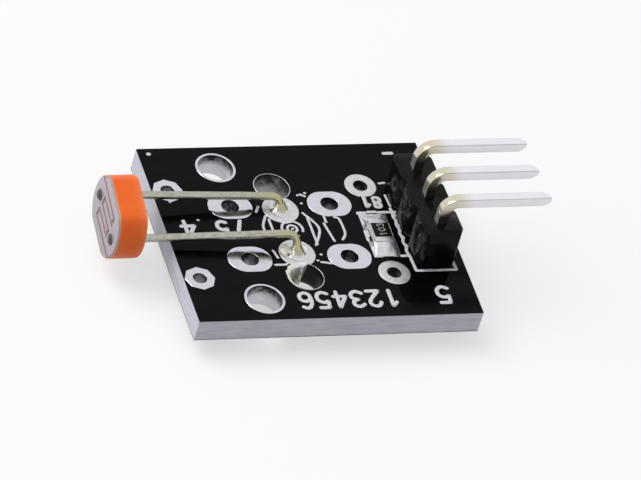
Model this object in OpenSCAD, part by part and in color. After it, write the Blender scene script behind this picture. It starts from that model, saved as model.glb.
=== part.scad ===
// Light sensor module: a photoresistor on bent leads, a chip resistor and an angled
// three-pin header, all soldered to one small circuit board.
// Millimetres. +X runs from the sensor to the header's pin tips, and +Z is up.
// The origin lies under the middle of the board, level with the soldered tails that the
// module stands on.

/* [Board] */
// Thickness of the glass-fibre core
core_t = 1.5; // [0.8:0.1:2.4]
// Thickness of the mask, the traces and the tinned pads on each face
film_t = 0.05; // [0.04:0.01:0.1]
// Wall of the plating inside each drilled hole
plating_t = 0.06; // [0.04:0.01:0.12]
// Bare board between the left edge and the edge pads
left_margin = 0.05; // [0.05:0.05:3]
// Bare board between the edge pads and the left oval pads
edge_gap = 1.21; // [0.2:0.01:4]
// Bare board between the left oval pads and the sensor's pads
left_gap = 0.56; // [0.2:0.02:4]
// Bare board between the sensor's pads and the right oval pads
right_gap = 0.7; // [0.2:0.02:4]
// Bare board between the right oval pads and the chip resistor's lands
resistor_gap = 0.14; // [0.1:0.02:4]
// Bare board between the chip resistor's lands and the header housing
header_gap = 0.56; // [0.4:0.02:4]
// Bare board between the header housing and the right edge
right_margin = 0.78; // [0.2:0.02:4]
// Bare board between the mounting holes' rings and the long edges
side_margin = 0.485; // [0.2:0.005:4]

/* [Large holes] */
// Bore of the two mounting holes
mount_hole_d = 2.2; // [1.6:0.1:3.2]
// Width of the ring round each mounting hole
mount_ring = 0.2; // [0.1:0.05:0.5]
// Distance between the mounting holes
mount_pitch = 11.43; // [10.6:0.01:16]
// Bore of the two locating holes beside the sensor's pads
locating_hole_d = 2.2; // [1:0.1:2.6]
// Width of the ring round each locating hole
locating_ring = 0.1; // [0.05:0.05:0.2]
// Board left between a locating hole and the sensor's hole beside it
locating_web = 0.35; // [0.3:0.05:1]

/* [Pads] */
// Bore of the edge pads
edge_hole_d = 0.86; // [0.6:0.02:1.2]
// Width of the eight-sided ring round an edge pad's bore, out to its corners
edge_ring = 0.57; // [0.3:0.01:0.8]
// Distance between the edge pads
edge_pitch = 7.62; // [5:0.01:9]
// Bore of the oval pads
oval_hole_d = 1.1; // [0.8:0.1:1.3]
// Width of the ring at the long sides of an oval pad
oval_ring = 0.55; // [0.3:0.05:0.7]
// Length that an oval pad has beyond its width
oval_stretch = 0.7; // [0.3:0.05:1.2]
// Distance between the oval pads of a column
oval_pitch = 4.6; // [4.2:0.1:5.2]
// Play round each lead in its plated hole
lead_play = 0.2; // [0.05:0.05:0.3]
// Width of the ring round a sensor pad's bore
sensor_ring = 0.73; // [0.5:0.01:0.8]
// Distance between the sensor's pads
sensor_pitch = 3.81; // [3.6:0.01:5]
// Bore of the spare resistor pads
spare_hole_d = 0.9; // [0.6:0.1:1.2]
// Width of the ring round a spare resistor pad's bore
spare_ring = 0.58; // [0.3:0.02:0.7]
// Board left between the near spare pad and the chip resistor's land
spare_gap = 0.3; // [0.2:0.05:1]
// Play at the corners of each pin in its plated hole
pin_play = 0.05; // [0.02:0.01:0.2]
// Width of the ring round a header pad's bore
header_ring = 0.35; // [0.2:0.05:0.5]

/* [Traces] */
// Width of the copper traces
trace_w = 0.5; // [0.2:0.05:0.6]
// Distance of the two long traces from the board's middle line
trace_lane = 0.6; // [0.4:0.05:0.8]
// Bare board between the header's pads and the traces that pass them
trace_gap = 0.6; // [0.3:0.05:1]
// Width of mask that covers each side of a trace
mask_cover = 0.08; // [0.04:0.01:0.15]

/* [Sensor] */
// Diameter of the sensor's face
sensor_d = 5.1; // [4.6:0.1:7]
// Distance between the two flats on the sensor's edge
sensor_flat = 4.3; // [3.8:0.1:4.5]
// Thickness of the ceramic base
base_t = 1.7; // [1:0.05:3]
// Thickness of the photoconductor coat on the base
coat_t = 0.1; // [0.06:0.01:0.2]
// Thickness of the electrodes
electrode_t = 0.04; // [0.02:0.01:0.1]
// Bare rim between the electrodes and the edge of the face
electrode_rim = 0.08; // [0.04:0.02:0.3]
// Width of the serpentine gap between the electrodes
track_w = 0.26; // [0.15:0.01:0.35]
// Distance between the strokes of the serpentine gap
track_pitch = 0.62; // [0.5:0.02:0.7]
// Length of the serpentine gap's inner strokes
track_length = 1.9; // [1.2:0.1:2]
// Free length between the board's left edge and the back of the sensor
sensor_overhang = 2.2; // [1:0.1:8]
// Shift of the sensor's middle from the board's middle line towards the far edge
sensor_shift = 0.7; // [0:0.05:1]
// Height of the sensor's middle above the board
sensor_lift = 0.94; // [0.6:0.02:2]
// Roll of the sensor, in degrees, with its far side up
sensor_roll = 14; // [0:0.5:16]

/* [Leads] */
// Diameter of the leads
lead_d = 0.5; // [0.4:0.02:0.6]
// Distance between the leads at the sensor
lead_pitch = 3.2; // [3:0.1:3.6]
// Play round each lead in the sensor
lead_fit = 0.05; // [0.02:0.01:0.1]
// Lean of the leads towards the far edge where they leave the board, in degrees
lead_lean = 32; // [0:1:36]
// Radius of the bend in the hole, where a lead starts to lean
lean_r = 0.5; // [0.4:0.05:0.6]
// Length of the far lead's leaning part, from the board to the line of its run
far_rise = 0.78; // [0.76:0.02:2]
// Length of the near lead's leaning part, from the board to the line of its run
near_rise = 1.18; // [0.9:0.02:2]
// Radius of the bend above the board
lead_bend_r = 0.7; // [0.4:0.05:0.7]
// Length of lead that stands out of its bond
lead_out = 0.06; // [0.04:0.02:0.3]
// Reach of the tapered bond round a lead's end
bond_reach = 0.2; // [0.1:0.02:0.25]
// Height of the tapered bond
bond_h = 0.08; // [0.05:0.01:0.15]

/* [Soldered joints] */
// Length of the pins' and the leads' tails below the board
tail_drop = 1.2; // [1:0.1:3]
// Height of a solder fillet under the board
solder_drop = 0.95; // [0.4:0.05:0.95]
// Height of the lead's solder fillet on top of the board
solder_rise = 0.42; // [0.2:0.02:0.6]
// Reach of a lead's solder fillet from the lead
lead_solder_reach = 0.5; // [0.3:0.05:0.55]
// Width of bare land left round a header pin's solder fillet
header_solder_inset = 0.08; // [0.04:0.02:0.2]
// Thickness of the solder at the rim of a fillet
solder_rim = 0.04; // [0.02:0.01:0.08]
// Thickness of the solder at the top of a fillet
solder_wet = 0.03; // [0.02:0.01:0.06]
// Hollow of a solder fillet's slope
solder_hollow = 0.05; // [0.03:0.01:0.1]

/* [Chip resistor] */
// Length of the resistor
resistor_l = 2; // [1.6:0.1:3.2]
// Width of the resistor
resistor_w = 1.25; // [0.8:0.05:1.6]
// Height of the resistor
resistor_h = 0.5; // [0.4:0.05:0.7]
// Length of each end terminal
terminal_l = 0.4; // [0.25:0.05:0.6]
// Thickness of the end terminals
terminal_t = 0.05; // [0.03:0.01:0.1]
// Thickness of the dark overcoat
overcoat_t = 0.06; // [0.05:0.01:0.1]
// Bare strip of substrate beside the overcoat
overcoat_inset = 0.06; // [0.03:0.01:0.2]
// Shift of the resistor from the board's middle line towards the near edge
resistor_shift = 0.58; // [0:0.02:1.2]
// Width of land beside the resistor
land_side = 0.275; // [0.1:0.025:0.5]
// Length of land beyond the resistor's end
land_end = 0.9; // [0.5:0.05:1.2]
// Length of land under the resistor's end
land_under = 0.5; // [0.45:0.05:0.7]
// Height of the solder fillet at the resistor's end
resistor_solder_h = 0.4; // [0.2:0.02:0.4]
// Width of the solder beyond the resistor's sides
resistor_solder_side = 0.15; // [0.05:0.05:0.25]
// Bare land left beyond the resistor's solder fillet
resistor_solder_inset = 0.06; // [0.02:0.02:0.2]

/* [Header] */
// Distance between the pins
pin_pitch = 2.54; // [2:0.01:3.96]
// Depth of the housing
housing_depth = 2.54; // [2:0.02:3.5]
// Height of the housing
housing_h = 2.54; // [1.5:0.02:4]
// Depth of the notches between the housing's segments
notch_depth = 0.28; // [0.2:0.02:0.6]
// Half the width of the notches between the housing's segments
notch_half = 0.5; // [0.3:0.02:0.7]
// Side of the square pins
pin_w = 0.64; // [0.5:0.02:0.64]
// Height of the pins' level run above the housing, to its middle
pin_rise = 1.6; // [1.3:0.1:5]
// Radius of the pins' bend at the middle of the pin
pin_bend_r = 0.9; // [0.5:0.05:1.2]
// Distance from a pin's upright part to its tip
pin_reach = 6.9; // [4:0.02:12]
// Length of a pin's tapered tip
pin_tip_l = 0.5; // [0.2:0.05:1]
// Side of the square at a pin's tip
pin_tip_w = 0.32; // [0.2:0.02:0.4]
// Tilt of the header, in degrees, with its near end lifted off the board
header_tilt = 3; // [0:0.25:3]

/* [Hidden] */
$fn = 64;

// Overrun of a cutting tool past the faces that it cuts
cut_over = 1;
// The header has one pin for each of these steps from its middle pin
pin_steps = [-1, 0, 1];
// The far and the near one of a pair
far = 1;
near = -1;

// Radius to the corners of the square pins
pin_corner_r = pin_w / sqrt(2);

// Sizes of the pads
sensor_hole_d = lead_d + 2 * lead_play;
header_hole_d = 2 * (pin_corner_r + pin_play);
mount_land_d = mount_hole_d + 2 * mount_ring;
locating_land_d = locating_hole_d + 2 * locating_ring;
edge_land_d = edge_hole_d + 2 * edge_ring;
oval_land_w = oval_hole_d + 2 * oval_ring;
oval_land_l = oval_land_w + oval_stretch;
sensor_land_d = sensor_hole_d + 2 * sensor_ring;
spare_land_d = spare_hole_d + 2 * spare_ring;
header_land_d = header_hole_d + 2 * header_ring;
land_w = resistor_w + 2 * land_side;
land_span = resistor_l + 2 * land_end;
land_l = land_end + land_under;

// The columns of pads follow one another from the left edge, and they set the board's length
edge_column = left_margin + edge_land_d / 2;
left_column = edge_column + edge_land_d / 2 + edge_gap + oval_land_l / 2;
sensor_column = left_column + oval_land_l / 2 + left_gap + sensor_land_d / 2;
right_column = sensor_column + sensor_land_d / 2 + right_gap + oval_land_l / 2;
resistor_column = right_column + oval_land_l / 2 + resistor_gap + land_w / 2;
header_column = resistor_column + land_w / 2 + header_gap + housing_depth / 2;
board_l = header_column + housing_depth / 2 + right_margin;
board_w = mount_pitch + mount_land_d + 2 * side_margin;

// Reach of the sensor past the board's left edge, and of the pins past its right edge
sensor_t = base_t + coat_t;
lead_stub = electrode_t + bond_h + lead_out;
sensor_side = sensor_overhang + sensor_t + lead_stub;
pin_side = pin_reach + header_column - board_l;

// The same columns in the part's own frame, with its origin under the middle of the whole length
left_edge = (sensor_side - pin_side - board_l) / 2;
board_x = left_edge + board_l / 2;
edge_x = left_edge + edge_column;
left_x = left_edge + left_column;
sensor_x = left_edge + sensor_column;
right_x = left_edge + right_column;
resistor_x = left_edge + resistor_column;
header_x = left_edge + header_column;

// Rows, as distances from the middle line
mount_y = mount_pitch / 2;
edge_y = edge_pitch / 2;
oval_y = oval_pitch / 2;
sensor_y = sensor_pitch / 2;
locating_y = sensor_y + (sensor_hole_d + locating_hole_d) / 2 + 2 * plating_t + locating_web;
spare_y = resistor_shift + land_span / 2 + spare_gap + spare_land_d / 2;

// Levels, from the tips of the tails up
under_z = tail_drop;
core_z = under_z + film_t;
core_top = core_z + core_t;
top_z = core_top + film_t;

// Routes of the traces
turn_x = header_x - header_land_d / 2 - trace_gap - trace_w / 2;
land_y = land_span / 2 - land_l / 2;
signal_route = [
    [sensor_x, -sensor_y],
    [sensor_x, -trace_lane],
    [turn_x, -trace_lane],
    [turn_x, -pin_pitch],
    [header_x, -pin_pitch]
];
signal_branch = [[resistor_x, -spare_y], [turn_x, -pin_pitch]];
supply_route = [
    [sensor_x, sensor_y],
    [sensor_x, trace_lane],
    [turn_x, trace_lane],
    [header_x, 0]
];
ground_route = [[resistor_x, spare_y], [turn_x, pin_pitch], [header_x, pin_pitch]];
bottom_routes = [signal_route, signal_branch, supply_route, ground_route];
top_routes = [
    [[resistor_x, spare_y], [resistor_x, land_y - resistor_shift]],
    [[resistor_x, -spare_y], [resistor_x, -land_y - resistor_shift]]
];

// Places of the sensor and its leads
back_x = left_edge - sensor_overhang;
lead_reach = sensor_x - back_x + sensor_t + lead_stub;

// A lead's corner and its end, from the middle of its hole on the board's top face
function lead_corner(rise) = [
    0,
    lean_r * (1 - cos(lead_lean)) + rise * sin(lead_lean),
    rise * cos(lead_lean)
];
function lead_end(side) = [
    -lead_reach,
    sensor_shift + side * (lead_pitch / 2 * cos(sensor_roll) - sensor_y),
    sensor_lift + side * lead_pitch / 2 * sin(sensor_roll)
];

// The header is tilted about its far bottom edge, with its pins centred in the board's thickness
board_mid = core_t / 2 + film_t;
header_half = len(pin_steps) * pin_pitch / 2;
header_shift = (board_mid + header_half * sin(header_tilt)) * tan(header_tilt)
    - header_half * (1 - cos(header_tilt));
pin_drift = (board_mid + solder_drop) * tan(header_tilt);

// Outlines of the pads, each round its own bore
module mount_land() {
    circle(d = mount_land_d);
}

module locating_land() {
    circle(d = locating_land_d);
}

module edge_land() {
    circle(d = edge_land_d, $fn = 8);
}

module oval_land() {
    square([oval_stretch, oval_land_w], center = true);
    for (side = [-1, 1])
        translate([side * oval_stretch / 2, 0])
            circle(d = oval_land_w);
}

// The locating hole's ring cuts into the sensor's pad beside it
module sensor_land(side) {
    difference() {
        circle(d = sensor_land_d);
        translate([0, side * (locating_y - sensor_y)])
            locating_land();
    }
}

module spare_land() {
    circle(d = spare_land_d);
}

module header_land() {
    circle(d = header_land_d);
}

module resistor_land() {
    square([land_w, land_l], center = true);
}

// Every drilled pad's outline, at its place on the board
module drilled_lands() {
    for (side = [near, far]) {
        translate([left_x, side * mount_y])
            mount_land();
        translate([sensor_x, side * locating_y])
            locating_land();
        translate([edge_x, side * edge_y])
            edge_land();
        translate([left_x, side * oval_y])
            oval_land();
        translate([right_x, side * oval_y])
            oval_land();
        translate([sensor_x, side * sensor_y])
            sensor_land(side);
        translate([resistor_x, side * spare_y])
            spare_land();
    }
    for (step = pin_steps)
        translate([header_x, step * pin_pitch])
            header_land();
}

module resistor_land_pair() {
    for (side = [near, far])
        translate([resistor_x, side * land_y - resistor_shift])
            resistor_land();
}

// One plated hole: a barrel with the pad given as its child on both faces
module plated_hole(hole_d) {
    difference() {
        union() {
            for (z = [under_z, core_top])
                translate([0, 0, z])
                    linear_extrude(film_t)
                        children();
            translate([0, 0, core_z])
                cylinder(d = hole_d + 2 * plating_t, h = core_t);
        }
        translate([0, 0, under_z - cut_over])
            cylinder(d = hole_d, h = core_t + 2 * film_t + 2 * cut_over);
    }
}

// Drilling for one plated hole
module drill(hole_d) {
    circle(d = hole_d + 2 * plating_t);
}

// Flat line of a trace with blunt corners
module trace_line(route, width) {
    for (i = [1 : len(route) - 1]) {
        step = route[i] - route[i - 1];
        translate(route[i - 1])
            rotate(atan2(step.y, step.x))
                translate([0, -width / 2])
                    square([norm(step), width]);
    }
    for (point = route)
        translate(point)
            rotate(22.5)
                circle(d = width / cos(22.5), $fn = 8);
}

module trace_lines(routes, width) {
    for (route = routes)
        trace_line(route, width);
}

module board_outline() {
    translate([board_x, 0])
        square([board_l, board_w], center = true);
}

// The mask on one face, resting on z = 0: it steps up where it covers a trace
module mask(routes) {
    linear_extrude(film_t)
        difference() {
            board_outline();
            children();
            trace_lines(routes, trace_w);
        }
    translate([0, 0, film_t])
        linear_extrude(film_t)
            difference() {
                trace_lines(routes, trace_w + 2 * mask_cover);
                children();
            }
}

module board_core() {
    color([0.84, 0.84, 0.88])
        translate([0, 0, core_z])
            linear_extrude(core_t)
                difference() {
                    board_outline();
                    for (side = [near, far]) {
                        translate([left_x, side * mount_y])
                            drill(mount_hole_d);
                        translate([sensor_x, side * locating_y])
                            drill(locating_hole_d);
                        translate([edge_x, side * edge_y])
                            drill(edge_hole_d);
                        translate([left_x, side * oval_y])
                            drill(oval_hole_d);
                        translate([right_x, side * oval_y])
                            drill(oval_hole_d);
                        translate([sensor_x, side * sensor_y])
                            drill(sensor_hole_d);
                        translate([resistor_x, side * spare_y])
                            drill(spare_hole_d);
                    }
                    for (step = pin_steps)
                        translate([header_x, step * pin_pitch])
                            drill(header_hole_d);
                }
}

module solder_mask_top() {
    color([0.06, 0.06, 0.07])
        translate([0, 0, core_top])
            mask(top_routes) {
                drilled_lands();
                resistor_land_pair();
            }
}

module solder_mask_bottom() {
    color([0.06, 0.06, 0.07])
        translate([0, 0, core_z])
            mirror([0, 0, 1])
                mask(bottom_routes)
                    drilled_lands();
}

module traces_top() {
    color([0.72, 0.45, 0.28])
        translate([0, 0, core_top])
            linear_extrude(film_t)
                difference() {
                    trace_lines(top_routes, trace_w);
                    drilled_lands();
                    resistor_land_pair();
                }
}

module traces_bottom() {
    color([0.72, 0.45, 0.28])
        translate([0, 0, under_z])
            linear_extrude(film_t)
                difference() {
                    trace_lines(bottom_routes, trace_w);
                    drilled_lands();
                }
}

module mounting_hole_plating() {
    color([0.82, 0.82, 0.85])
        for (side = [near, far])
            translate([left_x, side * mount_y])
                plated_hole(mount_hole_d)
                    mount_land();
}

module locating_hole_plating() {
    color([0.82, 0.82, 0.85])
        for (side = [near, far])
            translate([sensor_x, side * locating_y])
                plated_hole(locating_hole_d)
                    locating_land();
}

module edge_pads() {
    color([0.82, 0.82, 0.85])
        for (side = [near, far])
            translate([edge_x, side * edge_y])
                plated_hole(edge_hole_d)
                    edge_land();
}

module oval_pads(x) {
    color([0.82, 0.82, 0.85])
        for (side = [near, far])
            translate([x, side * oval_y])
                plated_hole(oval_hole_d)
                    oval_land();
}

module left_oval_pads() {
    oval_pads(left_x);
}

module right_oval_pads() {
    oval_pads(right_x);
}

module sensor_pads() {
    color([0.82, 0.82, 0.85])
        for (side = [near, far])
            translate([sensor_x, side * sensor_y])
                plated_hole(sensor_hole_d)
                    sensor_land(side);
}

module spare_pads() {
    color([0.82, 0.82, 0.85])
        for (side = [near, far])
            translate([resistor_x, side * spare_y])
                plated_hole(spare_hole_d)
                    spare_land();
}

module header_pads() {
    color([0.82, 0.82, 0.85])
        for (step = pin_steps)
            translate([header_x, step * pin_pitch])
                plated_hole(header_hole_d)
                    header_land();
}

module resistor_lands() {
    color([0.82, 0.82, 0.85])
        translate([0, 0, core_top])
            linear_extrude(film_t)
                resistor_land_pair();
}

// Section of a solder fillet from x = 0: level out to its shoulder, then down to its rim on a
// hollow arc
module fillet_section(shoulder, reach, height) {
    drop = height - solder_rim;
    chord = norm([reach, drop]);
    arc_r = (chord * chord / 4 + solder_hollow * solder_hollow) / (2 * solder_hollow);
    middle = [shoulder + reach / 2, solder_rim + drop / 2];
    outward = [drop, reach] / chord;
    rim = shoulder + reach;
    difference() {
        polygon([[0, 0], [rim, 0], [rim, solder_rim], [shoulder, height], [0, height]]);
        translate(middle + outward * (arc_r - solder_hollow))
            circle(r = arc_r);
    }
}

// Round fillet about +Z on z = 0, solid in its middle, for a wire of the radius given
module fillet_ring(wire_r, reach, height) {
    rotate_extrude()
        fillet_section(wire_r + solder_wet, reach - solder_wet, height);
}

// Solder that fills a plated hole and rises to a fillet under the board
module hole_solder(hole_d, wire_r, reach) {
    translate([0, 0, under_z]) {
        cylinder(d = hole_d, h = core_t + 2 * film_t);
        mirror([0, 0, 1])
            fillet_ring(wire_r, reach, solder_drop);
    }
}

// A straight stretch of wire along +Z, with what follows it at its end
module wire_straight(length, width, square_wire = false) {
    if (square_wire)
        translate([-width / 2, -width / 2, 0])
            cube([width, width, length]);
    else
        cylinder(d = width, h = length);
    translate([0, 0, length])
        children();
}

// A bend from +Z towards +X, with what follows it at its end
module wire_bend(radius, width, turn = 90, square_wire = false) {
    translate([radius, 0, 0]) {
        rotate([90, 0, 0])
            rotate(180 - turn)
                rotate_extrude(angle = turn)
                    translate([radius, 0])
                        if (square_wire)
                            square(width, center = true);
                        else
                            circle(d = width);
        rotate([0, turn, 0])
            translate([-radius, 0, 0])
                children();
    }
}

// A lead from the tip of its tail: up through the board, leaning to its corner and along its run
// through the sensor
module lead(side, rise, width) {
    run = lead_end(side) - lead_corner(rise);
    run_rise = run.y * sin(lead_lean) + run.z * cos(lead_lean);
    run_side = run.y * cos(lead_lean) - run.z * sin(lead_lean);
    turn = acos(run_rise / norm(run));
    bend_l = lead_bend_r * tan(turn / 2);
    translate([sensor_x, side * sensor_y, 0])
        wire_straight(top_z - lean_r * sin(lead_lean), width)
            rotate(90)
                wire_bend(lean_r, width, lead_lean)
                    rotate(atan2(-run.x, run_side))
                        wire_straight(rise - bend_l, width)
                            wire_bend(lead_bend_r, width, turn)
                                wire_straight(norm(run) - bend_l, width);
}

module far_wire(width) {
    lead(far, far_rise, width);
}

module near_wire(width) {
    lead(near, near_rise, width);
}

// Places a shape drawn on z = 0 at the sensor's back, with +Z out through its face and +Y
// along the line of its leads
module at_sensor() {
    translate([back_x, sensor_shift, top_z + sensor_lift])
        rotate([sensor_roll, 0, 0])
            rotate([0, -90, 0])
                children();
}

// Outline of the sensor, drawn in by an inset
module sensor_outline(inset) {
    intersection() {
        circle(d = sensor_d - 2 * inset);
        square([sensor_flat - 2 * inset, sensor_d], center = true);
    }
}

module lead_holes() {
    far_wire(lead_d + 2 * lead_fit);
    near_wire(lead_d + 2 * lead_fit);
}

module sensor_base() {
    color([0.93, 0.9, 0.86])
        difference() {
            at_sensor()
                linear_extrude(base_t)
                    sensor_outline(coat_t);
            lead_holes();
        }
}

module sensor_coat() {
    color([0.95, 0.38, 0.12])
        difference() {
            at_sensor()
                difference() {
                    linear_extrude(sensor_t)
                        sensor_outline(0);
                    translate([0, 0, -cut_over])
                        linear_extrude(base_t + cut_over)
                            sensor_outline(coat_t);
                }
            lead_holes();
        }
}

// The far electrode's side of the serpentine gap: its own edge of the face, the strip below the
// last stroke, and every other finger between the strokes
module comb_field() {
    half_gap = track_w / 2;
    inner_end = track_length / 2;
    outside = sensor_d;
    top_stroke = 2 * track_pitch;
    translate([-outside, inner_end + half_gap])
        square([outside + top_stroke - half_gap, outside]);
    translate([-outside, -outside])
        square([outside - top_stroke - half_gap, 2 * outside]);
    for (finger = [-0.5, 1.5])
        translate([(finger - 0.5) * track_pitch + half_gap, half_gap - inner_end])
            square([track_pitch - track_w, outside]);
}

module electrode(side) {
    color([0.78, 0.75, 0.75])
        difference() {
            at_sensor()
                translate([0, 0, sensor_t])
                    linear_extrude(electrode_t)
                        intersection() {
                            sensor_outline(electrode_rim);
                            rotate(side == far ? 0 : 180)
                                comb_field();
                        }
            lead_holes();
        }
}

module electrode_far() {
    electrode(far);
}

module electrode_near() {
    electrode(near);
}

module lead_far() {
    color([0.72, 0.71, 0.64])
        far_wire(lead_d);
}

module lead_near() {
    color([0.72, 0.71, 0.64])
        near_wire(lead_d);
}

// The bond that joins a lead's end, its child, to the electrode
module lead_bond(side) {
    collar_r = lead_d / 2 + lead_fit;
    color([0.5, 0.48, 0.47])
        difference() {
            at_sensor()
                translate([0, side * lead_pitch / 2, sensor_t + electrode_t])
                    cylinder(r1 = collar_r + bond_reach, r2 = collar_r, h = bond_h);
            children();
        }
}

module lead_bond_far() {
    lead_bond(far)
        far_wire(lead_d);
}

module lead_bond_near() {
    lead_bond(near)
        near_wire(lead_d);
}

// The soldered joint of a lead, its child, with a fillet on both faces
module lead_solder(side) {
    color([0.75, 0.76, 0.75])
        difference() {
            translate([sensor_x, side * sensor_y, 0]) {
                hole_solder(sensor_hole_d, lead_d / 2, lead_solder_reach);
                translate([0, 0, top_z])
                    fillet_ring(lead_d / 2, lead_solder_reach, solder_rise);
            }
            children();
        }
}

module lead_solder_far() {
    lead_solder(far)
        far_wire(lead_d);
}

module lead_solder_near() {
    lead_solder(near)
        near_wire(lead_d);
}

// Places a shape drawn round the resistor's own middle on the board
module at_resistor() {
    translate([resistor_x, -resistor_shift, top_z])
        children();
}

module resistor_body() {
    translate([-resistor_w / 2, terminal_t - resistor_l / 2, terminal_t])
        cube([resistor_w, resistor_l - 2 * terminal_t, resistor_h - 2 * terminal_t]);
}

module resistor_substrate() {
    color([0.93, 0.92, 0.9])
        at_resistor()
            resistor_body();
}

module resistor_overcoat() {
    coat_l = resistor_l - 2 * terminal_l;
    coat_w = resistor_w - 2 * overcoat_inset;
    color([0.1, 0.1, 0.09])
        at_resistor()
            translate([-coat_w / 2, -coat_l / 2, resistor_h - terminal_t])
                cube([coat_w, coat_l, overcoat_t]);
}

// An end terminal, wrapped over the top, the end and the underside of the substrate
module resistor_terminal(side) {
    color([0.8, 0.8, 0.81])
        at_resistor()
            difference() {
                translate([-resistor_w / 2, side * (resistor_l - terminal_l) / 2 - terminal_l / 2, 0])
                    cube([resistor_w, terminal_l, resistor_h]);
                resistor_body();
            }
}

module resistor_terminal_far() {
    resistor_terminal(far);
}

module resistor_terminal_near() {
    resistor_terminal(near);
}

module resistor_solder(side) {
    solder_w = resistor_w + 2 * resistor_solder_side;
    reach = land_end - resistor_solder_inset - solder_wet;
    color([0.75, 0.76, 0.75])
        at_resistor()
            mirror([0, side == far ? 0 : 1, 0])
                translate([-solder_w / 2, resistor_l / 2, 0])
                    rotate([90, 0, 90])
                        linear_extrude(solder_w)
                            fillet_section(solder_wet, reach, resistor_solder_h);
}

module resistor_solder_far() {
    resistor_solder(far);
}

module resistor_solder_near() {
    resistor_solder(near);
}

// One eight-sided segment of the housing
module housing_segment() {
    wide = housing_depth / 2;
    long = pin_pitch / 2;
    polygon([
        [wide, notch_half - long], [wide, long - notch_half],
        [wide - notch_depth, long], [notch_depth - wide, long],
        [-wide, long - notch_half], [-wide, notch_half - long],
        [notch_depth - wide, -long], [wide - notch_depth, -long]
    ]);
}

// Places a shape drawn round the header's middle, with the housing's underside on z = 0
module at_header() {
    translate([header_x, header_half + header_shift, top_z])
        rotate([-header_tilt, 0, 0])
            translate([0, -header_half, 0])
                children();
}

module header_housing() {
    color([0.08, 0.08, 0.08])
        at_header()
            linear_extrude(housing_h)
                for (step = pin_steps)
                    translate([0, step * pin_pitch])
                        difference() {
                            housing_segment();
                            square(pin_w, center = true);
                        }
}

// Tapered tip of a pin along +Z
module pin_tip() {
    half = pin_w / 2;
    tip_half = pin_tip_w / 2;
    intersection_for (turn = [0, 90])
        rotate(turn)
            rotate([90, 0, 0])
                linear_extrude(pin_w, center = true)
                    polygon([[-half, 0], [half, 0], [tip_half, pin_tip_l], [-tip_half, pin_tip_l]]);
}

// A pin from the end of its tail: up through the board and the housing, and over to its tip
module header_pin(step) {
    upright = top_z + housing_h + pin_rise - pin_bend_r;
    run = pin_reach - pin_bend_r - pin_tip_l;
    color([0.85, 0.83, 0.76])
        at_header()
            translate([0, step * pin_pitch, -top_z])
                wire_straight(upright, pin_w, true)
                    wire_bend(pin_bend_r, pin_w, square_wire = true)
                        wire_straight(run, pin_w, true)
                            pin_tip();
}

module header_pin_far() {
    header_pin(1);
}

module header_pin_middle() {
    header_pin(0);
}

module header_pin_near() {
    header_pin(-1);
}

module header_solder(step) {
    tail_r = pin_corner_r + pin_drift;
    reach = header_land_d / 2 - header_solder_inset - tail_r;
    color([0.75, 0.76, 0.75])
        difference() {
            translate([header_x, step * pin_pitch, 0])
                hole_solder(header_hole_d, tail_r, reach);
            header_pin(step);
        }
}

module header_solder_far() {
    header_solder(1);
}

module header_solder_middle() {
    header_solder(0);
}

module header_solder_near() {
    header_solder(-1);
}

board_core();
solder_mask_top();
solder_mask_bottom();
traces_top();
traces_bottom();
mounting_hole_plating();
locating_hole_plating();
edge_pads();
left_oval_pads();
right_oval_pads();
sensor_pads();
spare_pads();
header_pads();
resistor_lands();
sensor_base();
sensor_coat();
electrode_far();
electrode_near();
lead_far();
lead_near();
lead_bond_far();
lead_bond_near();
lead_solder_far();
lead_solder_near();
resistor_substrate();
resistor_overcoat();
resistor_terminal_far();
resistor_terminal_near();
resistor_solder_far();
resistor_solder_near();
header_housing();
header_pin_far();
header_pin_middle();
header_pin_near();
header_solder_far();
header_solder_middle();
header_solder_near();
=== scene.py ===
"""Looks of a light sensor module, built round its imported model.

A photoresistor on bent leads, a chip resistor and an angled three-pin header are soldered to a
small black circuit board. Shapes are drawn in millimetres, with the board's middle at x = 0, and
are put in the part's own frame, in metres, when a piece is finished.
"""

import logging
import math
from collections.abc import Callable, Sequence
from dataclasses import dataclass
from enum import Enum
from functools import cache
from typing import Any, NamedTuple

import bmesh
import bpy
from mathutils import Matrix, Quaternion, Vector, noise


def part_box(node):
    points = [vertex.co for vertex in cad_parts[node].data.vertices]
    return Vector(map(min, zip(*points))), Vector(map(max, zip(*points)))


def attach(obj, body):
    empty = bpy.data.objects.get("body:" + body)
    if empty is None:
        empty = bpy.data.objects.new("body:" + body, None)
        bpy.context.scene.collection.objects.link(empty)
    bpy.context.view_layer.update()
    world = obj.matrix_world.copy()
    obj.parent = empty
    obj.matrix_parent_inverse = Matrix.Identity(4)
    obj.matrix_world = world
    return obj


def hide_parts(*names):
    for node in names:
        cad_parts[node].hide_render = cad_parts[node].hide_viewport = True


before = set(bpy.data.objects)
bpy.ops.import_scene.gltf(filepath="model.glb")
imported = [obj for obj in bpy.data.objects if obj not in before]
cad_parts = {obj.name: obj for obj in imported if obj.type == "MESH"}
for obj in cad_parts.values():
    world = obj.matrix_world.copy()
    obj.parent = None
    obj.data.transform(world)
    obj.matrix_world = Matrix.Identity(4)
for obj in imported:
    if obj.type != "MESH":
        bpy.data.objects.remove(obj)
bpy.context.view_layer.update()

LOG = logging.getLogger("light_sensor")
METRE = 0.001
BODY = "root"
SHARP_ANGLE = math.radians(38)
ROUNDED_ANGLE = math.radians(30)
FLAT_ANGLE = 0.01
WELD = 0.0005
LEAST_COSINE = 0.05
BUMP_SEED = 7
NOISE_LOW, NOISE_HIGH = 0.32, 0.68
MOTTLE_DETAIL = 4.0
WEAR_SCALE = 1.7
MIX_FACTOR, MIX_FIRST, MIX_SECOND, MIX_RESULT = 0, 6, 7, 2
BOARD_X = sum(corner.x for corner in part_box("board_core")) / 2 / METRE
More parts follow.
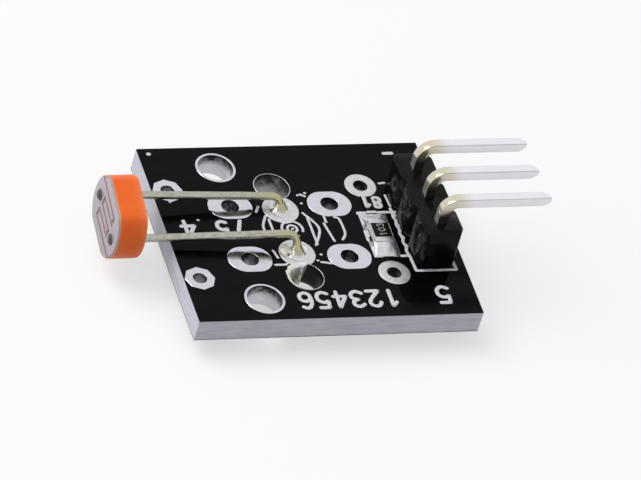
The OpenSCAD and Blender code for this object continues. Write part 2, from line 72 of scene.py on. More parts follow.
TO_FRAME = Matrix.Scale(METRE, 4) @ Matrix.Translation((BOARD_X, 0.0, 0.0))

Colour = tuple[float, float, float]
Triple = tuple[float, float, float]
Point = tuple[float, float]
Stroke = list[Point]
Ring = list[Vector]
Mesh = bpy.types.Mesh
Socket = bpy.types.NodeSocket


class Fade(NamedTuple):
    """A value that falls smoothly from 1 at a near distance to 0 at a far one."""

    near: float
    far: float

    def at(self, distance: float) -> float:
        """Gives the value at a distance."""
        share = min(max((self.far - distance) / (self.far - self.near), 0.0), 1.0)
        return share * share * (3.0 - 2.0 * share)


class Mottle(NamedTuple):
    """A fixed, smooth pattern about 0, with its strength and its fineness."""

    strength: float
    fineness: float

    def at(self, point: Vector) -> float:
        """Gives the value at a point."""
        return self.strength * noise.noise(point * self.fineness)


class Bumps(NamedTuple):
    """Fixed, smooth bumps, with their size and depth in millimetres."""

    size: float
    depth: float

    def moved(self, point: Vector, share: float = 1.0) -> Vector:
        """Moves a point by a share of the bumps."""
        return point + noise.noise_vector(point / self.size) * (self.depth * share)


class Slot(Enum):
    """Material slots of the record."""

    LAMINATE = "board_laminate"
    MASK = "solder_mask"
    COPPER = "copper"
    TIN = "tin_plating"
    CERAMIC = "sensor_ceramic"
    COAT = "photoconductor"
    FILM = "electrode_film"
    WIRE = "lead_wire"
    BOND = "lead_bond"
    SOLDER = "solder"
    ALUMINA = "resistor_ceramic"
    OVERCOAT = "resistor_overcoat"
    TERMINAL = "resistor_terminal"
    PLASTIC = "header_plastic"
    PIN = "pin_plating"


class Side(Enum):
    """The far and the near one of a pair, with the sign of its row."""

    FAR = 1
    NEAR = -1

    @property
    def label(self) -> str:
        """The side's name in the names of nodes and pieces."""
        return self.name.lower()


class Paint(Enum):
    """Values painted on a piece's points, which its finish reads."""

    STAIN = "stain"
    SHADE = "shade"
    FACE = "face"
    RIM = "rim"


class Surface:
    """The node tree of one material: a Principled shader and the patterns that feed it."""

    def __init__(self, name: str) -> None:
        """Starts the material.

        Args:
            name: Name of the material.
        """
        self.material = bpy.data.materials.new(name)
        self.material.use_nodes = True
        self.tree = self.material.node_tree
        self.shader = self.tree.nodes["Principled BSDF"]
        self.place = self.add("ShaderNodeTexCoord").outputs["Object"]
        self.normal: Socket | None = None

    def add(self, kind: str) -> bpy.types.Node:
        """Adds a node of the kind given."""
        return self.tree.nodes.new(kind)

    def join(self, source: Socket, target: Socket) -> None:
        """Links an output to an input."""
        self.tree.links.new(source, target)

    def grain(self, size: float, detail: float = 3.0, stretch: Triple = (1.0, 1.0, 1.0)) -> Socket:
        """Adds a noise pattern.

        Args:
            size: Size of its spots in millimetres.
            detail: Number of finer layers.
            stretch: Factor on the pattern's frequency along each axis.

        Returns:
            The noise value, about 0.3 to 0.7.
        """
        mapping = self.add("ShaderNodeMapping")
        mapping.inputs["Scale"].default_value = [axis / (size * METRE) for axis in stretch]
        self.join(self.place, mapping.inputs["Vector"])
        texture = self.add("ShaderNodeTexNoise")
        texture.inputs["Scale"].default_value = 1.0
        texture.inputs["Detail"].default_value = detail
        self.join(mapping.outputs["Vector"], texture.inputs["Vector"])
        return texture.outputs[0]

    def painted(self, paint: Paint) -> Socket:
        """Reads a value painted on the piece's points.

        Args:
            paint: Which value.

        Returns:
            The value.
        """
        node = self.add("ShaderNodeAttribute")
        node.attribute_name = paint.value
        return node.outputs["Fac"]

    def span(self, value: Socket, low: float, high: float) -> Socket:
        """Stretches the usual spread of a noise value to low..high.

        Args:
            value: The noise value.
            low: Result at the spread's low end.
            high: Result at its high end.

        Returns:
            The stretched and clamped value.
        """
        node = self.add("ShaderNodeMapRange")
        ends = {"From Min": NOISE_LOW, "From Max": NOISE_HIGH, "To Min": low, "To Max": high}
        for name, end in ends.items():
            node.inputs[name].default_value = end
        self.join(value, node.inputs["Value"])
        return node.outputs["Result"]

    def mix(self, factor: Socket, first: Colour | Socket, second: Colour) -> Socket:
        """Mixes two colours.

        Args:
            factor: 0 gives the first colour and 1 the second.
            first: A colour, or the colour made so far.
            second: A colour.

        Returns:
            The mixed colour.
        """
        node = self.add("ShaderNodeMix")
        node.data_type = "RGBA"
        self.join(factor, node.inputs[MIX_FACTOR])
        if isinstance(first, tuple):
            node.inputs[MIX_FIRST].default_value = (*first, 1.0)
        else:
            self.join(first, node.inputs[MIX_FIRST])
        node.inputs[MIX_SECOND].default_value = (*second, 1.0)
        return node.outputs[MIX_RESULT]

    def relief(self, height: Socket, depth: float) -> None:
        """Adds bumps to the surface.

        Args:
            height: Pattern of the bumps.
            depth: Their depth in millimetres.
        """
        node = self.add("ShaderNodeBump")
        node.inputs["Distance"].default_value = depth * METRE
        self.join(height, node.inputs["Height"])
        if self.normal is not None:
            self.join(self.normal, node.inputs["Normal"])
        self.normal = node.outputs["Normal"]
        self.join(self.normal, self.shader.inputs["Normal"])


@dataclass(frozen=True)
class Finish:
    """A finish of two mottled tones with a spread of roughness and a fine relief."""

    name: str
    slot: Slot | None
    tone: Colour
    fleck: Colour
    grain: float
    rough: tuple[float, float]
    relief_grain: float
    relief: float
    metal: float = 0.0
    specular: float = 0.5
    stretch: Triple = (1.0, 1.0, 1.0)
    stain: Colour | None = None
    shade: Colour | None = None
    wave_grain: float = 0.0
    wave: float = 0.0

    @cache
    def material(self) -> bpy.types.Material:
        """Gives the finish's material, made the first time that it is asked for.

        Returns:
            The material.
        """
        surface = Surface(self.name)
        inputs = surface.shader.inputs
        inputs["Metallic"].default_value = self.metal
        inputs["Specular IOR Level"].default_value = self.specular
        surface.join(self.colouring(surface), inputs["Base Color"])
        worn = surface.grain(self.grain * WEAR_SCALE, MOTTLE_DETAIL, self.stretch)
        surface.join(surface.span(worn, *self.rough), inputs["Roughness"])
        if self.wave:
            surface.relief(surface.grain(self.wave_grain, detail=1.0), self.wave)
        surface.relief(surface.grain(self.relief_grain, stretch=self.stretch), self.relief)
        return surface.material

    def colouring(self, surface: Surface) -> Socket:
        """Makes the finish's colour.

        Args:
            surface: The material in the making.

        Returns:
            The colour.
        """
        mottle = surface.span(surface.grain(self.grain, MOTTLE_DETAIL, self.stretch), 0.0, 1.0)
        colour = surface.mix(mottle, self.tone, self.fleck)
        if self.stain is not None:
            colour = surface.mix(surface.painted(Paint.STAIN), colour, self.stain)
        if self.shade is not None:
            colour = surface.mix(surface.painted(Paint.SHADE), colour, self.shade)
        return colour


@dataclass(frozen=True)
class CoatFinish(Finish):
    """The sensor's coat: orange sides, paler rims, and a rose face."""

    rim_tone: Colour = (0.84, 0.36, 0.20)
    face_tone: Colour = (0.36, 0.21, 0.22)

    def colouring(self, surface: Surface) -> Socket:
        """Makes the coat's colour.

        Args:
            surface: The material in the making.

        Returns:
            The colour.
        """
        colour = super().colouring(surface)
        colour = surface.mix(surface.painted(Paint.RIM), colour, self.rim_tone)
        return surface.mix(surface.painted(Paint.FACE), colour, self.face_tone)


LAMINATE = Finish(
    "cut_laminate", Slot.LAMINATE, (0.64, 0.64, 0.73), (0.79, 0.79, 0.87),
    grain=0.16, rough=(0.45, 0.65), relief_grain=0.05, relief=0.012,
    stretch=(0.12, 0.12, 1.0), wave_grain=0.5, wave=0.03,
)
MASK = Finish(
    "black_mask", Slot.MASK, (0.0016, 0.0016, 0.0019), (0.003, 0.003, 0.0034),
    grain=0.9, rough=(0.08, 0.14), relief_grain=0.06, relief=0.0005,
    specular=0.055, wave_grain=0.7, wave=0.0015,
)
TRACE = Finish(
    "tinned_copper", Slot.COPPER, (0.50, 0.47, 0.46), (0.58, 0.55, 0.53),
    grain=0.2, rough=(0.15, 0.3), relief_grain=0.05, relief=0.002,
    metal=1.0,
)
TIN = Finish(
    "tinned_pads", Slot.TIN, (0.60, 0.59, 0.635), (0.66, 0.65, 0.69),
    grain=0.35, rough=(0.08, 0.17), relief_grain=0.07, relief=0.001,
    metal=1.0, shade=(0.02, 0.02, 0.022), wave_grain=0.45, wave=0.004,
)
WORN_TIN = Finish(
    "worn_pads", Slot.TIN, (0.62, 0.613, 0.63), (0.70, 0.69, 0.70),
    grain=0.3, rough=(0.22, 0.36), relief_grain=0.07, relief=0.002,
    metal=0.5, shade=(0.02, 0.02, 0.022), wave_grain=0.4, wave=0.006,
)
# A darker copy of the tinned plating: painted shade for the locating holes.
SHADED_TIN = Finish(
    "dulled_plating", Slot.TIN, (0.36, 0.355, 0.37), (0.50, 0.49, 0.51),
    grain=0.25, rough=(0.2, 0.36), relief_grain=0.07, relief=0.003,
    metal=1.0, shade=(0.02, 0.02, 0.022), wave_grain=0.35, wave=0.008,
)
CERAMIC = Finish(
    "fired_ceramic", Slot.CERAMIC, (0.80, 0.76, 0.70), (0.70, 0.64, 0.57),
    grain=0.15, rough=(0.45, 0.7), relief_grain=0.05, relief=0.006,
)
COAT = CoatFinish(
    "orange_coat", Slot.COAT, (1.0, 0.175, 0.022), (0.97, 0.15, 0.02),
    grain=0.8, rough=(0.32, 0.5), relief_grain=0.25, relief=0.005,
    specular=0.28, stretch=(0.5, 1.0, 1.0),
)
FILM = Finish(
    "silvered_film", Slot.FILM, (0.49, 0.45, 0.48), (0.59, 0.545, 0.58),
    grain=0.22, rough=(0.3, 0.45), relief_grain=0.06, relief=0.002,
    specular=0.3,
)
WIRE = Finish(
    "tinned_wire", Slot.WIRE, (0.34, 0.335, 0.275), (0.50, 0.49, 0.42),
    grain=0.14, rough=(0.2, 0.36), relief_grain=0.05, relief=0.003,
    metal=1.0, stretch=(0.35, 1.0, 1.0), stain=(0.44, 0.42, 0.24), shade=(0.05, 0.045, 0.045),
    wave_grain=0.4, wave=0.01,
)
BOND = Finish(
    "conductive_paste", Slot.BOND, (0.05, 0.045, 0.045), (0.12, 0.11, 0.11),
    grain=0.12, rough=(0.35, 0.55), relief_grain=0.06, relief=0.008,
)
SOLDER = Finish(
    "bright_solder", Slot.SOLDER, (0.60, 0.595, 0.625), (0.70, 0.695, 0.71),
    grain=0.3, rough=(0.18, 0.34), relief_grain=0.08, relief=0.002,
    metal=1.0, stain=(0.70, 0.66, 0.46), wave_grain=0.35, wave=0.01,
)
JOINT = Finish(
    "fluxed_solder", Slot.SOLDER, (0.58, 0.57, 0.60), (0.66, 0.65, 0.665),
    grain=0.3, rough=(0.1, 0.2), relief_grain=0.07, relief=0.002,
    metal=1.0, stain=(0.34, 0.315, 0.16), wave_grain=0.25, wave=0.02,
)
RUN = Finish(
    "run_solder", Slot.SOLDER, (0.87, 0.86, 0.88), (0.96, 0.95, 0.97),
    grain=0.3, rough=(0.12, 0.26), relief_grain=0.08, relief=0.002,
    metal=0.3, stain=(0.84, 0.79, 0.50), shade=(0.40, 0.38, 0.29), wave_grain=0.3, wave=0.03,
)
FLUX = Finish(
    "dried_flux", None, (0.76, 0.73, 0.60), (0.95, 0.93, 0.85),
    grain=0.16, rough=(0.1, 0.3), relief_grain=0.08, relief=0.004,
    specular=0.6, wave_grain=0.2, wave=0.02,
)
ALUMINA = Finish(
    "white_alumina", Slot.ALUMINA, (0.70, 0.69, 0.67), (0.60, 0.59, 0.57),
    grain=0.1, rough=(0.4, 0.6), relief_grain=0.04, relief=0.003,
)
OVERCOAT = Finish(
    "dark_overcoat", Slot.OVERCOAT, (0.005, 0.006, 0.005), (0.009, 0.010, 0.008),
    grain=0.12, rough=(0.15, 0.3), relief_grain=0.05, relief=0.002,
    specular=0.08,
)
TERMINAL = Finish(
    "tinned_terminal", Slot.TERMINAL, (0.52, 0.52, 0.53), (0.64, 0.64, 0.64),
    grain=0.12, rough=(0.2, 0.4), relief_grain=0.04, relief=0.003,
    metal=1.0,
)
PLASTIC = Finish(
    "moulded_plastic", Slot.PLASTIC, (0.0045, 0.004, 0.0043), (0.007, 0.0062, 0.0066),
    grain=0.5, rough=(0.14, 0.24), relief_grain=0.05, relief=0.0005,
    specular=0.085, wave_grain=0.9, wave=0.001,
)
PIN = Finish(
    "plated_pin", Slot.PIN, (0.92, 0.915, 0.955), (0.96, 0.955, 0.99),
    grain=0.3, rough=(0.12, 0.22), relief_grain=0.05, relief=0.0008,
    metal=0.7, stretch=(0.2, 1.0, 1.0), stain=(0.73, 0.69, 0.54), shade=(0.045, 0.04, 0.03),
)
INK = Finish(
    "white_ink", None, (0.66, 0.66, 0.70), (0.77, 0.77, 0.80),
    grain=0.12, rough=(0.5, 0.7), relief_grain=0.04, relief=0.002,
)
CODE_INK = Finish(
    "pale_ink", None, (0.34, 0.35, 0.31), (0.46, 0.47, 0.42),
    grain=0.08, rough=(0.5, 0.7), relief_grain=0.04, relief=0.001,
)


def loft(rings: Sequence[Ring], closed: bool = False) -> Mesh:
    """Skins a row of rings that have as many points each.

    Args:
        rings: The rings, in order.
        closed: Joins the last ring to the first one instead of capping both.

    Returns:
        A closed mesh, with its points in the rings' order.
    """
    work = bmesh.new()
    rows = [[work.verts.new(point) for point in ring] for ring in rings]
    pairs = list(zip(rows, rows[1:] + rows[:1] if closed else rows[1:]))
    for lower, upper in pairs:
        for i, corner in enumerate(lower):
            follower = (i + 1) % len(lower)
            work.faces.new((corner, lower[follower], upper[follower], upper[i]))
    if not closed:
        work.faces.new(rows[0][::-1])
        work.faces.new(rows[-1])
    bmesh.ops.recalc_face_normals(work, faces=work.faces)
    mesh = bpy.data.meshes.new("loft")
    work.to_mesh(mesh)
    work.free()
    return mesh


def paint_points(mesh: Mesh, paint: Paint, values: Sequence[float]) -> None:
    """Paints a value on each point of a mesh, in the points' order."""
    mesh.attributes.new(paint.value, "FLOAT", "POINT").data.foreach_set("value", values)


def brush(mesh: Mesh, paint: Paint, value: Callable[[Vector], float]) -> None:
    """Paints what a function gives at each point of a mesh."""
    paint_points(mesh, paint, [value(vertex.co) for vertex in mesh.vertices])


def around(count: int) -> list[float]:
    """Gives directions spread evenly all round, in radians."""
    return [math.tau * i / count for i in range(count)]


def shares(steps: int) -> list[float]:
    """Gives even shares from 0 to 1."""
    return [i / steps for i in range(steps + 1)]


def polar(reach: float, angle: float, height: float, x: float = 0.0, y: float = 0.0) -> Vector:
    """Gives the point at a reach and a direction from a place, at a height."""
    return Vector((x + reach * math.cos(angle), y + reach * math.sin(angle), height))


def circle(radius: float, height: float, count: int, centre: Vector | None = None) -> Ring:
    """Makes a level ring round a centre, or round the origin."""
    middle = centre or Vector((0.0, 0.0, 0.0))
    return [polar(radius, angle, height, middle.x, middle.y) for angle in around(count)]


def evaluated(mesh: Mesh, set_up: Callable[[bpy.types.Object], None]) -> Mesh:
    """Runs modifiers on a mesh, in millimetres.

    Args:
        mesh: The mesh.
        set_up: Adds the modifiers to the object given.

    Returns:
        A plain mesh.
    """
    bench = bpy.data.objects.new("bench", mesh)
    bpy.context.scene.collection.objects.link(bench)
    set_up(bench)
    graph = bpy.context.evaluated_depsgraph_get()
    made = bpy.data.meshes.new_from_object(bench.evaluated_get(graph))
    bpy.data.objects.remove(bench)
    return made


def softened(node: str, width: float, segments: int = 2) -> Mesh:
    """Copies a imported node's mesh and rounds its edges.

    Args:
        node: The node.
        width: Width of the rounding in millimetres.
        segments: Number of faces across the rounding.

    Returns:
        The rounded mesh.
    """
    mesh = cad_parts[node].data.copy()
    mesh.transform(TO_FRAME.inverted())
    work = bmesh.new()
    work.from_mesh(mesh)
    bmesh.ops.remove_doubles(work, verts=work.verts, dist=WELD)
    bmesh.ops.dissolve_limit(work, angle_limit=FLAT_ANGLE, verts=work.verts, edges=work.edges)
    work.to_mesh(mesh)
    work.free()

    def add_bevel(bench: bpy.types.Object) -> None:
        """Adds the rounding to an object.

        Args:
            bench: The object.
        """
        bevel = bench.modifiers.new("rounding", "BEVEL")
        bevel.width = width
        bevel.segments = segments
        bevel.limit_method = "ANGLE"
        bevel.angle_limit = ROUNDED_ANGLE

    return evaluated(mesh, add_bevel)


def keep_piece(name: str, mesh: Mesh, finish: Finish, nodes: Sequence[str] = ()) -> None:
    """Turns a mesh in millimetres into a finished piece.

    Args:
        name: Name of the piece.
        mesh: Its mesh.
        finish: Its finish.
        nodes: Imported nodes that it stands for.
    """
    mesh.name = name
    mesh.transform(TO_FRAME)
    mesh.materials.clear()
    mesh.materials.append(finish.material())
    mesh.shade_smooth()
    mesh.set_sharp_from_angle(angle=SHARP_ANGLE)
    piece = bpy.data.objects.new(name, mesh)
    bpy.context.scene.collection.objects.link(piece)
    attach(piece, BODY)
    if nodes:
        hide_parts(*nodes)
    LOG.info("%s: %d faces, %s", name, len(mesh.polygons), finish.name)


def dress_node(node: str, finish: Finish) -> None:
    """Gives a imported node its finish.

    Args:
        node: The node.
        finish: Its finish.
    """
    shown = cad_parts[node]
    if not shown.material_slots:
        shown.data.materials.append(None)
    for place in shown.material_slots:
        place.material = finish.material()
    LOG.info("%s: packed node, %s", node, finish.name)


class NodeGroup:
    """A Geometry Nodes tree with named inputs."""

    def __init__(self, name: str) -> None:
        """Starts the tree.

        Args:
            name: Name of the tree.
        """
        self.tree = bpy.data.node_groups.new(name, "GeometryNodeTree")
        for way in ("INPUT", "OUTPUT"):
            self.tree.interface.new_socket("Geometry", in_out=way, socket_type="NodeSocketGeometry")
        self.entry = self.tree.nodes.new("NodeGroupInput")
        self.identifiers: dict[str, str] = {}

    def size(self, name: str, kind: str = "NodeSocketFloat") -> Socket:
        """Adds a named input.

        Args:
            name: Its name.
            kind: Its socket type.

        Returns:
            The input as it is seen inside the tree.
        """
        item = self.tree.interface.new_socket(name, in_out="INPUT", socket_type=kind)
        self.identifiers[name] = item.identifier
        return self.entry.outputs[name]

    def add(
        self, kind: str, settings: dict[str, Any] | None = None, **inputs: Any
    ) -> bpy.types.Node:
        """Adds a node.

        Args:
            kind: Its type.
            settings: Properties of the node.
            inputs: A socket or a value for each input, with _ for a space in its name.

        Returns:
            The node.
        """
        node = self.tree.nodes.new(kind)
        for name, value in (settings or {}).items():
            setattr(node, name, value)
        for name, value in inputs.items():
            target = next(s for s in node.inputs if s.name == name.replace("_", " ") and s.enabled)
            if isinstance(value, Socket):
                self.tree.links.new(value, target)
            else:
                target.default_value = value
        return node

    def shifted(self, geometry: Socket, pattern: Socket, depth: Socket) -> Socket:
        """Shifts points level by a pattern.

        Args:
            geometry: What to shift.
            pattern: A colour pattern about 0.5.
            depth: Factor on the shift.

        Returns:
            The shifted geometry.
        """
        drift = pattern
        for operation, operand in (("SUBTRACT", (0.5, 0.5, 0.5)), ("MULTIPLY", (1.0, 1.0, 0.0))):
            node = self.add("ShaderNodeVectorMath", {"operation": operation})
            self.tree.links.new(drift, node.inputs[0])
            node.inputs[1].default_value = operand
            drift = node.outputs[0]
        scaled = self.add("ShaderNodeVectorMath", {"operation": "SCALE"}, Scale=depth)
        self.tree.links.new(drift, scaled.inputs[0])
        offset = scaled.outputs[0]
        return self.add("GeometryNodeSetPosition", Geometry=geometry, Offset=offset).outputs[0]

    def close(self, geometry: Socket) -> None:
        """Ends the tree in real geometry with its material.

        Args:
            geometry: What the tree has made.
        """
        real = self.add("GeometryNodeRealizeInstances", Geometry=geometry)
        finish = self.size("Material", "NodeSocketMaterial")
        dressed = self.add("GeometryNodeSetMaterial", Geometry=real.outputs[0], Material=finish)
        leave = self.tree.nodes.new("NodeGroupOutput")
        self.tree.links.new(dressed.outputs[0], leave.inputs["Geometry"])

    def run(self, mesh: Mesh, **values: Any) -> Mesh:
        """Runs the tree on a mesh.

        Args:
            mesh: The mesh that goes in.
            values: A value for each named input.

        Returns:
            The mesh that comes out.
        """

        def add_nodes(bench: bpy.types.Object) -> None:
            """Adds the tree to an object and sets its inputs.

            Args:
                bench: The object.
            """
            modifier = bench.modifiers.new("nodes", "NODES")
            modifier.node_group = self.tree
            for name, value in values.items():
                modifier[self.identifiers[name]] = value

        return evaluated(mesh, add_nodes)


class Outline(Enum):
    """Outlines of the pads."""

    ROUND = "round"
    OCTAGON = "eight-sided"
    OVAL = "oval"
    BITTEN = "cut by the ring of the locating hole beside it"


@dataclass
class PlatedHoles:
    """The plated holes of one kind, each a barrel with a crowned pad on both faces of the board."""

    node: str
    bore: float
    ring: float
    rows: tuple[float, ...]
    outline: Outline = Outline.ROUND
    stretch: float = 0.0
    under: float = 1.2
    core_top: float = 2.75
    top: float = 2.8
    wall: float = 0.06
    edge: float = 0.025
    bite_distance: float = 2.02
    bite_radius: float = 1.2
    bore_levels: tuple[float, ...] = (0.8, 0.6, 0.4, 0.2)
    # Painted shade: the bore walls darken below the rim, standing in for the shade inside the
    # holes.
    gloom: float = 0.95
    gloom_depth: float = 1.9
    gloom_start: float = 0.25
    near_gloom: Fade | None = None
    mottling: tuple[Mottle, ...] = (Mottle(0.35, 2.0), Mottle(0.45, 4.5))
    finish: Finish = TIN
    count: int = 144

    def reach(self, angle: float, row: float) -> float:
        """Gives the pad's reach from the middle of its bore.

        Args:
            angle: Direction in radians.
            row: The hole's row.

        Returns:
            The reach in millimetres.
        """
        radius = self.bore / 2 + self.ring
        across = abs(math.cos(angle))
        along = abs(math.sin(angle))
        if self.outline is Outline.OCTAGON:
            eighth = math.tau / 8
            return radius * math.cos(eighth / 2) / math.cos(angle % eighth - eighth / 2)
        if self.outline is Outline.OVAL:
            half = self.stretch / 2
            if radius * across <= half * along:
                return radius / along
            return half * across + math.sqrt(radius**2 - (half * along) ** 2)
        if self.outline is Outline.BITTEN and math.sin(angle) * row > 0:
            ahead = self.bite_distance * along
            room = self.bite_radius**2 - self.bite_distance**2 + ahead**2
            if room > 0:
                return min(radius, ahead - math.sqrt(room))
        return radius

    def hole_rings(self, column: float, row: float) -> list[Ring]:
        """Makes the rings of one hole, from the bore over the top pad and round to the bottom pad.

        A row of the profile holds a radius, or 0 and an inset from the pad's outline, and a height.

        Args:
            column: The hole's x.
            row: The hole's y.

        Returns:
            The rings of a closed loop.
        """
        bore = self.bore / 2
        edge = self.edge
        half = [
            *[(bore, 0.0, self.top - depth) for depth in (*self.bore_levels, 2 * edge)],
            (bore + 0.3 * edge, 0.0, self.top - 0.7 * edge),
            (bore + edge, 0.0, self.top - 0.1 * edge),
            (0.0, -0.55 * self.ring, self.top),
            (0.0, -2.5 * edge, self.top - 0.15 * edge),
            (0.0, -0.7 * edge, self.top - 0.5 * edge),
            (0.0, 0.0, self.top - 1.2 * edge),
            (0.0, 0.0, self.core_top),
            (bore + self.wall, 0.0, self.core_top),
        ]
        middle = (self.top + self.under) / 2
        profile = half + [(radius, inset, 2 * middle - z) for radius, inset, z in reversed(half)]
        rings = []
        for radius, inset, z in profile:
            ring = []
            for angle in around(self.count):
                distance = radius or self.reach(angle, row) + inset
                ring.append(polar(distance, angle, z, column, row))
            rings.append(ring)
        return rings

    def build(self) -> None:
        """Makes the holes as one piece in place of their node."""
        low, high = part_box(self.node)
        column = (low.x + high.x) / 2 / METRE - BOARD_X
        work = bmesh.new()
        for row in self.rows:
            work.from_mesh(loft(self.hole_rings(column, row), closed=True))
        mesh = bpy.data.meshes.new(self.node)
        work.to_mesh(mesh)
        work.free()
        gloom = Fade(self.gloom_start * self.gloom_depth, self.gloom_depth)

        def dull(point: Vector) -> float:
            """Gives the painted shade on the bore's wall, darkest just under its upper rim.

            Args:
                point: A point of the mesh.

            Returns:
                The painted shade, from 0 to 1.
            """
            distance = min(math.hypot(point.x - column, point.y - row) for row in self.rows)
            sunk = self.top - point.z
            if distance > self.bore / 2 + self.edge / 2:
                return 0.0
            if self.near_gloom is not None and point.y < 0.0:
                return self.near_gloom.at(sunk)
            uneven = 1.0 + sum(mottle.at(point) for mottle in self.mottling)
            return min(self.gloom * uneven * gloom.at(sunk), 1.0)

        # Paints shade into the bores.
        brush(mesh, Paint.SHADE, dull)
        keep_piece(f"plated_{self.node}", mesh, self.finish, [self.node])


@dataclass
class Board:
    """The circuit board: laminate, masks, traces, plated holes and the resistor's lands."""

    mount_row: float = 5.715
    locating_row: float = 3.925
    edge_row: float = 3.81
    oval_row: float = 2.3
    sensor_row: float = 1.905
    spare_row: float = 3.81
    pin_pitch: float = 2.54

    def build(self) -> None:
        """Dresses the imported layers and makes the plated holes."""
        dress_node("board_core", LAMINATE)
        for face in ("top", "bottom"):
            dress_node(f"solder_mask_{face}", MASK)
            dress_node(f"traces_{face}", TRACE)
        dress_node("resistor_lands", TIN)
        for holes in self.holes():
            holes.build()

    def holes(self) -> list[PlatedHoles]:
        """Lists the kinds of plated hole.

        Returns:
            One entry for each node of holes.
        """

        def both(row: float) -> tuple[float, float]:
            """The near and the far row."""
            return (-row, row)

        oval = {"stretch": 0.7, "outline": Outline.OVAL}
        pins = (-self.pin_pitch, 0.0, self.pin_pitch)
        return [
            PlatedHoles(
                "mounting_hole_plating", bore=2.2, ring=0.2, rows=both(self.mount_row),
                gloom=1.0, gloom_depth=0.9,
            ),
            PlatedHoles(
                "locating_hole_plating", bore=2.2, ring=0.1, rows=both(self.locating_row),
                gloom=0.95, gloom_depth=1.7, near_gloom=Fade(1.32, 2.2), finish=SHADED_TIN,
            ),
            PlatedHoles(
                "edge_pads", bore=0.86, ring=0.57, rows=both(self.edge_row),
                outline=Outline.OCTAGON, gloom=0.5,
            ),
            PlatedHoles(
                "left_oval_pads", bore=1.1, ring=0.55, rows=both(self.oval_row), gloom=0.85, **oval
            ),
            PlatedHoles("right_oval_pads", bore=1.1, ring=0.55, rows=both(self.oval_row), **oval),
            PlatedHoles(
                "sensor_pads", bore=0.9, ring=0.73, rows=both(self.sensor_row),
                outline=Outline.BITTEN, finish=WORN_TIN,
            ),
            PlatedHoles(
                "spare_pads", bore=0.9, ring=0.58, rows=both(self.spare_row), finish=WORN_TIN
            ),
            PlatedHoles("header_pads", bore=1.005, ring=0.35, rows=pins),
        ]


class Station(NamedTuple):
    """A place on a wire's middle line: direction, the section's first axis, length up to there."""

    point: Vector
    ahead: Vector
    across: Vector
    length: float


@dataclass(frozen=True)
class Wire:
    """The middle line of a bent wire: straight stretches, with a round bend at inner corners."""

    corners: tuple[Vector, ...]
    bends: tuple[float, ...]
    across: Vector
    step: float = 0.25
    turn_steps: int = 18

    def stations(self) -> list[Station]:
        """Walks along the wire.

        Returns:
            The stations from its start to its end.
        """
        places = []
        here = self.corners[0]
        across = self.across
        length = 0.0
        for corner, leaving, radius in zip(self.corners[1:], self.corners[2:], self.bends):
            ahead = (corner - here).normalized()
            turn = ahead.angle(leaving - corner)
            run = (corner - here).length - radius * math.tan(turn / 2)
            places += self.straight(here, ahead, across, run, length)
            here = here + ahead * run
            length += run
            axis = ahead.cross(leaving - corner).normalized()
            inward = axis.cross(ahead)
            for i in range(self.turn_steps + 1):
                angle = turn * i / self.turn_steps
                spin = Quaternion(axis, angle)
                point = here + (ahead * math.sin(angle) + inward * (1.0 - math.cos(angle))) * radius
                places.append(Station(point, spin @ ahead, spin @ across, length + radius * angle))
            across = places[-1].across
            length = places[-1].length
            here = places.pop().point
        ahead = (self.corners[-1] - here).normalized()
        run = (self.corners[-1] - here).length
        places += self.straight(here, ahead, across, run, length)
        places.append(Station(self.corners[-1], ahead, across, length + run))
        return places

    def straight(
        self, start: Vector, ahead: Vector, across: Vector, run: float, length: float
    ) -> list[Station]:
        """Walks along a straight stretch, up to its last step.

        Args:
            start: Where it starts.
            ahead: Its direction.
            across: The section's first axis.
            run: Its length.
            length: The length up to its start.

        Returns:
            The stations.
        """
        count = max(2, round(run / self.step))
        steps = [run * i / count for i in range(count)]
        return [Station(start + ahead * step, ahead, across, length + step) for step in steps]

    def swept(self, section: Callable[[Station, float], list[Point]]) -> list[Ring]:
        """Carries a section along the wire.

        Args:
            section: Gives the section's points at a station, with the wire's length left there.

        Returns:
            The rings.
        """
        stations = self.stations()
        whole = stations[-1].length
        rings = []
        for station in stations:
            beside = station.ahead.cross(station.across)
            points = section(station, whole - station.length)
            rings.append([station.point + station.across * u + beside * v for u, v in points])
        return rings


